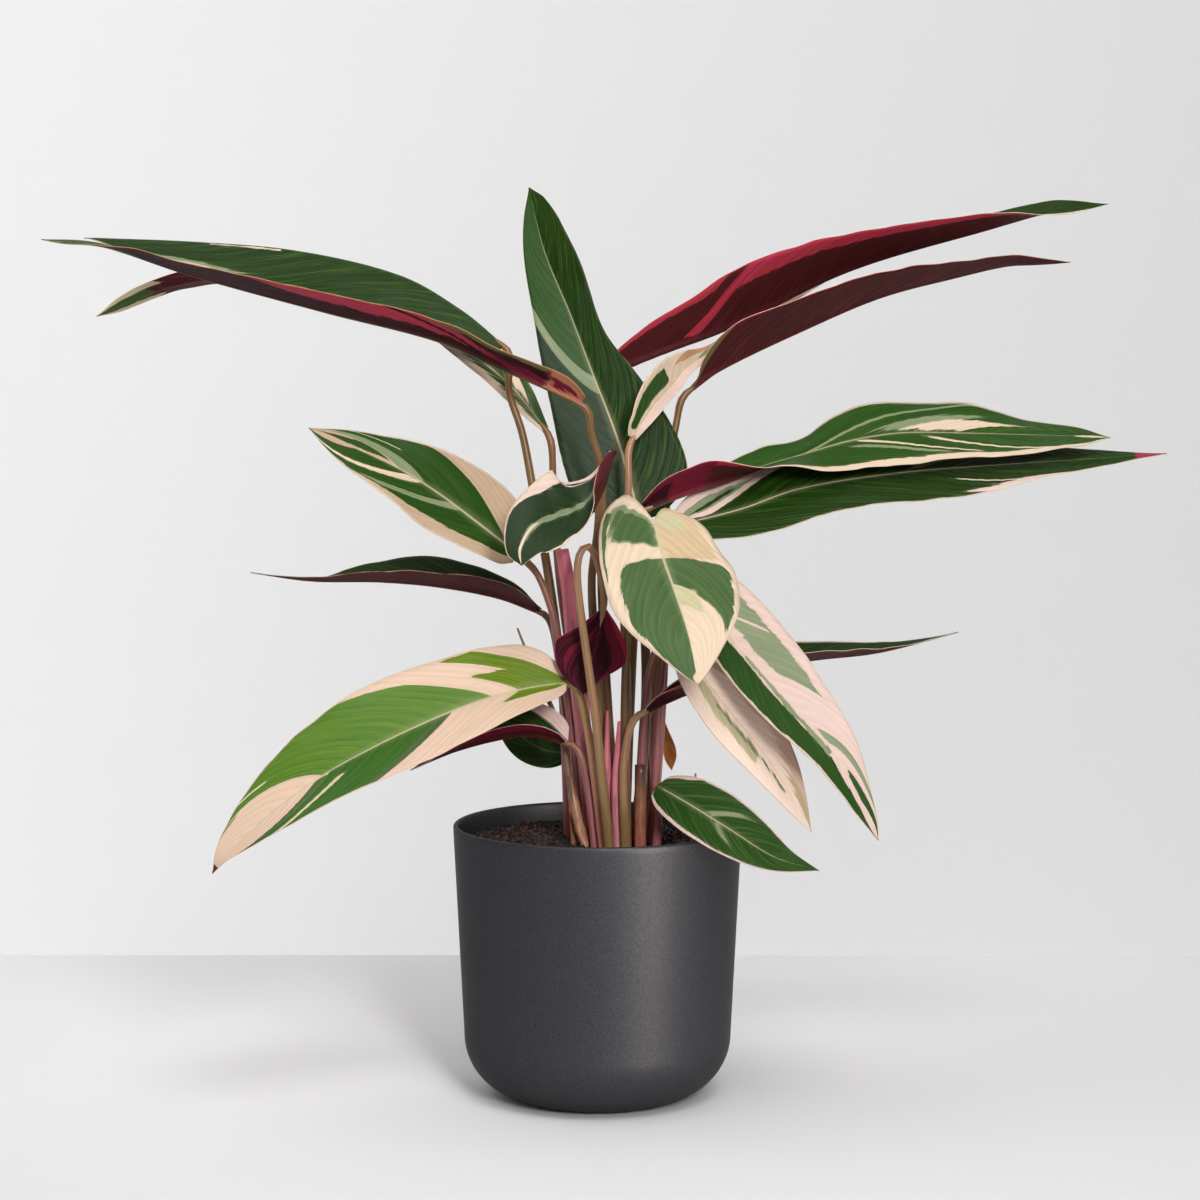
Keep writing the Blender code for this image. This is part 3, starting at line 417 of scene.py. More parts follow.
        rib=((23, -36, 205), (37, -33, 211), (52, -20, 215), (85, 8, 221), (111, 20, 225), (149, 32, 228),
            (191, 38, 238)),
        right=15, belly=0.38,
        edge_left=((0.0, 3), (0.1, 7), (0.25, 12), (0.4, 16), (0.65, 13), (0.85, 6), (1.0, 0)),
        facing=((0.0, (0.0, 0.0, 1.0)),), fold_left=((0.0, 50), (1.0, 30)),
        fold_right=((0.0, 45), (0.6, 25), (1.0, 15)), stem=((14.5, -38), (13, -39, 175), (16, -38, 196)),
        radius=(2.8, 1.6)),
    # Small low leaf lying out over the pot's rim.
    BladeShape("leaf_21",
        rib=((30, -42, 168), (46, -51, 160), (66, -62, 149), (88, -74, 137), (109, -82, 132)), left=16,
        right=17, belly=0.36, facing=((0.0, (0.0, -0.6, 0.8)),), fold_left=((0.0, 25),),
        fold_right=((0.0, 0),), knee=3.0, stem=((30, -32), (31, -35, 152)), radius=(2.4, 1.5)),
    # Dried leaf hanging on its stalk.
    BladeShape("leaf_22",
        rib=((32, 1, 204.5), (34, 1, 193), (37, 1, 181), (38.5, 0, 170)), left=3.5, right=4, belly=0.7,
        facing=((0.0, (0.3, -1.0, 0.2)),), fold_left=((0.0, 25),), fold_right=((0.0, 30),),
        wave=(1.0, 1.5, 0.0), stem=((29, 4), (26.5, 4, 170), (26.5, 3, 198)), end=(30.9, 1.6, 205.3),
        radius=(1.4, 0.6)),
)


def keyed(keys: Keys, place: float):
    """Blend the values of (place, value) pairs smoothly at one place.

    Args:
        keys: pairs in rising order of place.
        place: where to read them.

    Returns:
        The blended value, a number or a Vector.
    """
    if place <= keys[0][0]:
        return keys[0][1]
    for (u0, a), (u1, b) in zip(keys, keys[1:]):
        if place <= u1:
            t = (place - u0) / (u1 - u0)
            t = t * t * (3.0 - 2.0 * t)
            return a + (b - a) * t
    return keys[-1][1]


def smooth_curve(points: tuple, samples: int = 24) -> list:
    """Return points along a Catmull-Rom curve through the given points.

    Args:
        points: the points that the curve passes.
        samples: steps between two of them.

    Returns:
        The list of points along the curve.
    """
    given = [Vector(p) for p in points]
    ends = [given[0] * 2 - given[1], *given, given[-1] * 2 - given[-2]]
    curve = []
    for i in range(1, len(ends) - 2):
        p0, p1, p2, p3 = ends[i - 1:i + 3]
        span = (p2 - p1).length
        m1 = (p2 - p0) * (span / ((p1 - p0).length + span))
        m2 = (p3 - p1) * (span / (span + (p3 - p2).length))
        for k in range(samples):
            t = k / samples
            curve.append(p1 * (2 * t**3 - 3 * t**2 + 1) + m1 * (t**3 - 2 * t**2 + t)
                         + p2 * (3 * t**2 - 2 * t**3) + m2 * (t**3 - t**2))
    curve.append(given[-1])
    return curve


def softened(points: list, step: float = 2.0, rounds: int = 9) -> list:
    """Round the bends of a route of points, keeping its two ends.

    Args:
        points: the route.
        step: distance between the points that are returned.
        rounds: how often each point moves half way to its neighbours' middle.

    Returns:
        The rounded route.
    """
    route = Path(points)
    count = max(int(route.length / step), 4)
    evened = [route.at(i / count) for i in range(count + 1)]
    for _ in range(rounds):
        middle = [(a + b * 2.0 + c) / 4.0 for a, b, c in zip(evened, evened[1:], evened[2:])]
        evened = [evened[0], *middle, evened[-1]]
    return evened


class Path:
    """A curve that can be read at any share of its length."""

    def __init__(self, points: tuple) -> None:
        """Trace the curve through the given points."""
        self.points = smooth_curve(points)
        self.marks = [0.0]
        for a, b in zip(self.points, self.points[1:]):
            self.marks.append(self.marks[-1] + (b - a).length)
        self.length = self.marks[-1]

    def at(self, place: float) -> Vector:
        """Return the point at a share (0 to 1) of the length."""
        goal = min(max(place, 0.0), 1.0) * self.length
        i = min(max(bisect.bisect_right(self.marks, goal) - 1, 0), len(self.points) - 2)
        step = self.marks[i + 1] - self.marks[i]
        return self.points[i].lerp(self.points[i + 1], (goal - self.marks[i]) / step)

    def along(self, place: float) -> Vector:
        """Return the direction of the curve at a share of the length."""
        step = 0.4 / self.length
        return (self.at(place + step) - self.at(place - step)).normalized()


def half_shape(place: float, belly: float) -> float:
    """Return the blade's half width at one place, 1 at its widest."""
    turned = place ** (math.log(0.5) / math.log(belly))
    return max(math.sin(math.pi * turned), 0.0) ** (0.55 + 0.4 * place)


def edge_width(keys: Keys, place: float) -> float:
    """Read a half width from (place, half width) pairs.

    Args:
        keys: pairs in rising order of place.
        place: where to read them.

    Returns:
        The half width in millimetres.
    """
    for i in range(len(keys) - 1):
        u1, a = keys[i]
        u2, b = keys[i + 1]
        if place <= u2:
            u0, before = keys[max(i - 1, 0)]
            u3, after = keys[min(i + 2, len(keys) - 1)]
            t = (place - u1) / (u2 - u1)
            m1 = (b - before) / (u2 - u0) * (u2 - u1)
            m2 = (after - a) / (u3 - u1) * (u2 - u1)
            return (a * (2 * t**3 - 3 * t**2 + 1) + m1 * (t**3 - 2 * t**2 + t)
                    + b * (3 * t**2 - 2 * t**3) + m2 * (t**3 - t**2))
    return keys[-1][1]


def make_object(name: str, points: list, faces: list, smooth: bool = True) -> bpy.types.Object:
    """Make a mesh object from points in millimetres.

    Args:
        name: name of the object and its mesh.
        points: the corners.
        faces: tuples of corner numbers.
        smooth: whether the faces are shaded smooth.

    Returns:
        The new object, linked to the scene.
    """
    mesh = bpy.data.meshes.new(name)
    mesh.from_pydata([tuple(c * MM for c in p) for p in points], [], faces)
    mesh.update()
    if smooth:
        mesh.polygons.foreach_set("use_smooth", [True] * len(mesh.polygons))
    item = bpy.data.objects.new(name, mesh)
    bpy.context.scene.collection.objects.link(item)
    return item


class Graph:
    """A small helper that adds and joins shader nodes."""

    def __init__(self, tree: bpy.types.NodeTree) -> None:
        """Keep the tree that the nodes go into."""
        self.tree = tree

    def node(self, kind: str, **values) -> bpy.types.Node:
        """Add a node and set its properties.

        Args:
            kind: Blender's name of the node's type.
            values: properties of the node.

        Returns:
            The new node.
        """
        made = self.tree.nodes.new(kind)
        for key, value in values.items():
            setattr(made, key, value)
        return made

    def feed(self, socket: bpy.types.NodeSocket, value) -> None:
        """Join a socket to another one, or set its value."""
        if isinstance(value, bpy.types.NodeSocket):
            self.tree.links.new(value, socket)
        else:
            socket.default_value = value

    def math(self, operation: str, *values, clamp: bool = False) -> bpy.types.NodeSocket:
        """Add a Math node and return its result.

        Args:
            operation: name of the operation.
            values: sockets or numbers for its inputs.
            clamp: whether the result is held between 0 and 1.

        Returns:
            The result's socket.
        """
        made = self.node("ShaderNodeMath", operation=operation, use_clamp=clamp)
        for socket, value in zip(made.inputs, values):
            self.feed(socket, value)
        return made.outputs[0]

    def mix(self, share, a, b) -> bpy.types.NodeSocket:
        """Blend two colours and return the result's socket."""
        made = self.node("ShaderNodeMix", data_type="RGBA")
        self.feed(made.inputs[0], share)
        self.feed(made.inputs[6], a)
        self.feed(made.inputs[7], b)
        return made.outputs[2]

    def ramp(self, value, low: float, high: float) -> bpy.types.NodeSocket:
        """Return 0 below low and 1 above high, smooth in between."""
        made = self.node("ShaderNodeMapRange", interpolation_type="SMOOTHSTEP")
        self.feed(made.inputs["Value"], value)
        self.feed(made.inputs["From Min"], low)
        self.feed(made.inputs["From Max"], high)
        return made.outputs["Result"]

    def noise(self, vector, scale: float, detail: float = 2.0, rough: float = 0.5):
        """Add a noise texture and return its value's socket."""
        made = self.node("ShaderNodeTexNoise")
        self.feed(made.inputs["Vector"], vector)
        self.feed(made.inputs["Scale"], scale)
        self.feed(made.inputs["Detail"], detail)
        self.feed(made.inputs["Roughness"], rough)
        return made.outputs[0]

    def bump(self, shader: bpy.types.Node, height, strength: float, distance: float) -> None:
        """Give a shader a relief of some strength and of a depth in metres."""
        made = self.node("ShaderNodeBump")
        made.inputs["Strength"].default_value = strength
        made.inputs["Distance"].default_value = distance
        self.feed(made.inputs["Height"], height)
        self.feed(shader.inputs["Normal"], made.outputs[0])

    def place(self, group: bpy.types.NodeTree, **values) -> bpy.types.Node:
        """Place a node group and feed its inputs.

        Args:
            group: the group's tree.
            values: input names, with _ for spaces, and their values.

        Returns:
            The group's node.
        """
        made = self.node("ShaderNodeGroup", node_tree=group)
        for key, value in values.items():
            self.feed(made.inputs[key.replace("_", " ")], value)
        return made


def new_material(name: str) -> tuple:
    """Return a new material, a Graph on its tree and its shader node."""
    material = bpy.data.materials.new(name)
    material.use_nodes = True
    return material, Graph(material.node_tree), material.node_tree.nodes["Principled BSDF"]


def floats(*labels: str) -> tuple:
    """Return (name, socket type) pairs for sockets that hold a number."""
    return tuple((label, "Float") for label in labels)


def new_group(name: str, inputs: tuple, outputs: tuple) -> tuple:
    """Start a shader node group.

    Args:
        name: the group's name.
        inputs: (name, socket type) pairs.
        outputs: (name, socket type) pairs.

    Returns:
        The group's tree, a Graph on it, its input node and its output node.
    """
    tree = bpy.data.node_groups.new(name, "ShaderNodeTree")
    for label, kind in inputs:
        tree.interface.new_socket(label, in_out="INPUT", socket_type=f"NodeSocket{kind}")
    for label, kind in outputs:
        tree.interface.new_socket(label, in_out="OUTPUT", socket_type=f"NodeSocket{kind}")
    graph = Graph(tree)
    return tree, graph, graph.node("NodeGroupInput"), graph.node("NodeGroupOutput")


@dataclass
class LeafGroups:
    """The node groups that every leaf finish shares.

    Attributes:
        fringe, end_fringe: how far ragged edges reach along and across the veins.
        sharpness: how sharp the edge of a patch is, per millimetre.
        veil_reach: how far faint streaks of a patch run on past its edge.
        veil_slope, veil_start: how steeply such a streak comes up, and from where.
        veil: how strongly it covers.
        vein_drift: how much the streaks bend the rows of side veins.
        vein_tone, streak_tone: how much side veins and streaks change the lightness.
        hue_drift: how much the streaks change the hue.
        pale_calm: how much less a pale colour changes.
        rib_cover, rib_glow: how strongly the midrib's line and the glow beside it cover.
        rib_dip, vein_rise: relief of the midrib's line and of the side veins.
    """

    fringe: float = 9.0
    end_fringe: float = 6.0
    sharpness: float = 2.6
    veil_reach: float = 7.0
    veil_slope: float = 1.5
    veil_start: float = -3.6
    veil: float = 0.38
    vein_drift: float = 9.0
    vein_tone: float = 0.35
    streak_tone: float = 3.6
    hue_drift: float = 0.09
    pale_calm: float = -1.7
    rib_cover: float = 0.85
    rib_glow: float = 0.18
    rib_dip: float = -1.2
    vein_rise: float = 0.6

    def __post_init__(self) -> None:
        """Build the three groups once."""
        self.layout = self.build_layout()
        self.patch = self.build_patch()
        self.veins = self.build_veins()

    def build_layout(self) -> bpy.types.NodeTree:
        """Build the group that turns a blade's UV into vein coordinates.

        Lengths in it are millimetres on the blade. Lead is how much nearer the
        tip a side vein is than the place where it left the midrib.

        Returns:
            A tree with the outputs named in FLOW.
        """
        tree, g, given, out = new_group(
            "vein_layout", (("UV", "Vector"), *floats("Length", "Breadth", "Lean", "Seed")), floats(*FLOW))
        v = given.outputs
        parts = g.node("ShaderNodeSeparateXYZ")
        g.feed(parts.inputs[0], v["UV"])
        side = g.math("MULTIPLY_ADD", parts.outputs[1], 2.0, -1.0)
        share = g.math("ABSOLUTE", side)
        lead = g.math("MULTIPLY", g.math("POWER", share, VEIN_BEND), v["Lean"])
        along = g.math("MULTIPLY", parts.outputs[0], v["Length"])
        vein = g.math("SUBTRACT", along, lead)
        wide = g.math("MULTIPLY", side, v["Breadth"])

        def flow(stretch: float) -> bpy.types.NodeSocket:
            """Return a vector that changes slowly along the side veins."""
            made = g.node("ShaderNodeCombineXYZ")
            g.feed(made.inputs[0], vein)
            g.feed(made.inputs[1], g.math("MULTIPLY", wide, stretch))
            g.feed(made.inputs[2], v["Seed"])
            return made.outputs[0]

        def steps(per_mm: float, height: float) -> bpy.types.NodeSocket:
            """Return random steps from one side vein to the next."""
            cell = g.node("ShaderNodeTexWhiteNoise", noise_dimensions="1D")
            count = g.math("FLOOR", g.math("MULTIPLY", vein, per_mm))
            g.feed(cell.inputs["W"], g.math("ADD", count, v["Seed"]))
            return g.math("MULTIPLY", g.math("SUBTRACT", cell.outputs[0], 0.5), height)

        notch = g.math("SUBTRACT", g.noise(flow(0.25), 0.13, 2.0, 0.5), 0.5)
        notch = g.math("ADD", notch, steps(0.28, 0.16))
        notch = g.math("ADD", notch, steps(0.9, 0.12))
        across = g.math("ABSOLUTE", wide)
        drift = g.math("SUBTRACT", g.noise(flow(0.5), 0.09, 1.0), 0.5)
        streak = g.noise(flow(0.12), 0.5, 3.0, 0.6)
        for label, value in zip(FLOW, (along, lead, across, side, notch, drift, streak)):
            g.feed(out.inputs[label], value)
        return tree

    def build_patch(self) -> bpy.types.NodeTree:
        """Build the group that paints one patch over a colour.

        Returns:
            A tree with the output Colour.
        """
        tree, g, given, out = new_group(
            "leaf_patch",
            (("Under", "Color"), ("Paint", "Color"),
             *floats(*FLOW, "Half", "Start", "End", "Inner", "Outer", "Inner End", "Outer End", "Lean",
                     "Ragged", "Round")),
            (("Colour", "Color"),))
        v = given.outputs
        kept = g.math("MULTIPLY", v["Lead"], g.math("SUBTRACT", 1.0, v["Lean"]))
        vein = g.math("SUBTRACT", v["Along"], kept)
        first = g.math("SUBTRACT", vein, v["Start"])
        last = g.math("SUBTRACT", v["End"], vein)
        progress = g.math("DIVIDE", first, g.math("SUBTRACT", v["End"], v["Start"]), clamp=True)
        inner = g.math("MULTIPLY_ADD", g.math("SUBTRACT", v["Inner End"], v["Inner"]), progress, v["Inner"])
        outer = g.math("MULTIPLY_ADD", g.math("SUBTRACT", v["Outer End"], v["Outer"]), progress, v["Outer"])
        from_inner = g.math("SUBTRACT", v["Across"], inner)
        cross = g.math("MINIMUM", from_inner, g.math("SUBTRACT", outer, v["Across"]))
        notch = g.math("MULTIPLY", g.math("MULTIPLY", v["Notch"], v["Ragged"]), self.fringe)
        cross = g.math("ADD", cross, notch)
        drift = g.math("MULTIPLY", g.math("MULTIPLY", v["Drift"], v["Ragged"]), self.end_fringe)
        ends = g.math("ADD", g.math("MINIMUM", first, last), drift)
        depth = g.math("SMOOTH_MIN", cross, ends, v["Round"])
        edge = g.math("MULTIPLY_ADD", depth, self.sharpness, 0.5, clamp=True)
        veil = g.math("MULTIPLY_ADD", v["Streak"], self.veil_reach, depth)
        veil = g.math("MULTIPLY_ADD", veil, self.veil_slope, self.veil_start, clamp=True)
        veil = g.math("MULTIPLY", g.math("MULTIPLY", veil, self.veil), g.math("MINIMUM", v["Ragged"], 1.0))
        cover = g.math("MAXIMUM", edge, veil)
        half = g.math("MULTIPLY_ADD", g.math("MULTIPLY", v["Side"], v["Half"]), 100.0, 1.0, clamp=True)
        g.feed(out.inputs["Colour"], g.mix(g.math("MULTIPLY", cover, half), v["Under"], v["Paint"]))
        return tree

    def build_veins(self) -> bpy.types.NodeTree:
        """Build the group that draws side veins, streaks and the midrib.

        Returns:
            A tree with the outputs Colour and Height.
        """
        tree, g, given, out = new_group(
            "leaf_veins",
            (("Under", "Color"), *floats("Along", "Lead", "Across", "Length", "Streak"), ("Rib", "Color"),
             *floats("Rib Width", "Contrast")),
            (("Colour", "Color"), ("Height", "Float")))
        v = given.outputs
        vein = g.math("SUBTRACT", v["Along"], v["Lead"])
        turns = g.math("MULTIPLY_ADD", v["Streak"], self.vein_drift,
                       g.math("MULTIPLY", vein, FULL_TURN / VEIN_SPACING))
        wave = g.math("SINE", turns)
        lift = g.math("MULTIPLY_ADD", g.math("SUBTRACT", v["Streak"], 0.5), self.streak_tone,
                      g.math("MULTIPLY", wave, self.vein_tone))
        tones = g.node("ShaderNodeSeparateColor")
        g.feed(tones.inputs[0], v["Under"])
        depth = g.math("MULTIPLY_ADD", tones.outputs[2], self.pale_calm, 1.0, clamp=True)
        depth = g.math("MULTIPLY_ADD", depth, 0.75, 0.25)
        shade = g.node("ShaderNodeHueSaturation")
        g.feed(shade.inputs["Color"], v["Under"])
        hue = g.math("MULTIPLY_ADD", g.math("SUBTRACT", 0.5, v["Streak"]), self.hue_drift, 0.5)
        g.feed(shade.inputs["Hue"], hue)
        lift = g.math("MULTIPLY", lift, depth)
        g.feed(shade.inputs["Value"], g.math("MULTIPLY_ADD", lift, v["Contrast"], 1.0))
        left = g.math("SUBTRACT", 1.15, g.math("DIVIDE", v["Along"], v["Length"]))
        rib = g.math("DIVIDE", v["Across"], g.math("MULTIPLY", v["Rib Width"], left))
        line = g.math("SUBTRACT", 1.5, rib, clamp=True)
        glow = g.math("MULTIPLY_ADD", rib, -0.03, self.rib_glow, clamp=True)
        share = g.math("MAXIMUM", g.math("MULTIPLY", line, self.rib_cover), glow)
        g.feed(out.inputs["Colour"], g.mix(share, shade.outputs[0], v["Rib"]))
        relief = g.math("MULTIPLY_ADD", line, self.rib_dip, g.math("MULTIPLY", wave, self.vein_rise))
        g.feed(out.inputs["Height"], relief)
        return tree


@dataclass(frozen=True)
class Skin:
    """What sets the two sides of a leaf apart.

    Attributes:
        contrast: how strongly veins and streaks change its lightness.
        roughness: how rough it is where the streaks are darkest.
        shine: strength of its highlights.
        margin: width of the line along the edge, if not the look's own.
    """

    contrast: float
    roughness: float
    shine: float
    margin: float | None = None


UPPER_SIDE = Skin(contrast=0.24, roughness=0.22, shine=0.11)
UNDERSIDE = Skin(contrast=0.2, roughness=0.36, shine=0.07, margin=0.02)


@dataclass(frozen=True)
class LeafFinish:
    """The satin skin of one side of a blade.

    Attributes:
        look: the blade's pattern.
        length: length of the midrib in millimetres.
        breadth: widest half width in millimetres.
        seed: what makes this blade's streaks its own.
        underside: whether this is the skin of the underside.
    """

    look: BladeLook
    length: float
    breadth: float
    seed: float
    underside: bool

    def tone(self, tint: Tint) -> tuple:
        """Return a tint's linear colour on this side of the blade."""
        return linear(tint.value[1 if self.underside else 0])

    def paint(self, g: Graph, groups: LeafGroups, flow: dict, under, patch: Patch) -> bpy.types.NodeSocket:
        """Lay one patch over a colour and return the result's socket."""
        length = self.length
        breadth = self.breadth
        inner_end = patch.inner if patch.inner_end is None else patch.inner_end
        outer_end = patch.outer if patch.outer_end is None else patch.outer_end
        made = g.place(groups.patch, Under=under, Paint=self.tone(patch.tint), **flow, Half=patch.side.value,
                       Start=patch.start * length, End=patch.end * length, Inner=patch.inner * breadth,
                       Outer=patch.outer * breadth, Inner_End=inner_end * breadth,
                       Outer_End=outer_end * breadth, Lean=patch.lean, Ragged=patch.ragged,
                       Round=patch.rounded)
        return made.outputs[0]

    def build(self, name: str, groups: LeafGroups) -> bpy.types.Material:
        """Build the material.

        Args:
            name: name of the material.
            groups: the shared leaf groups.

        Returns:
            The material.
        """
        material, g, shader = new_material(name)
        look = self.look
        skin = UNDERSIDE if self.underside else UPPER_SIDE
        uv = g.node("ShaderNodeUVMap", uv_map=BLADE_UV)
        layout = g.place(groups.layout, UV=uv.outputs[0], Length=self.length, Breadth=self.breadth,
                         Lean=look.vein_lean * self.breadth, Seed=self.seed)
        flow = {label: layout.outputs[label] for label in FLOW}
        streak = flow["Streak"]
        lines = g.math("MULTIPLY", g.ramp(streak, 0.5, 0.68), look.streaks)
        colour = g.mix(lines, self.tone(look.base), self.tone(look.streak))
        margin = look.margin_width if skin.margin is None else skin.margin
        edge = Patch(look.margin, BOTH, -2.0, 2.0, 1.0 - margin, ragged=0.08)
        for patch in (*look.patches, edge):
            colour = self.paint(g, groups, flow, colour, patch)
        veins = g.place(groups.veins, Under=colour, Along=flow["Along"], Lead=flow["Lead"],
                        Across=flow["Across"], Length=self.length, Streak=streak,
                        Rib=self.tone(look.midrib), Rib_Width=look.rib_width, Contrast=skin.contrast)
        g.feed(shader.inputs["Base Color"], veins.outputs["Colour"])
        g.feed(shader.inputs["Roughness"], g.math("MULTIPLY_ADD", streak, 0.3, skin.roughness))
        shader.inputs["Specular IOR Level"].default_value = skin.shine
        g.bump(shader, veins.outputs["Height"], strength=0.2, distance=0.0005)
        return material


LEFT, BOTH, RIGHT = Side.LEFT, Side.BOTH, Side.RIGHT

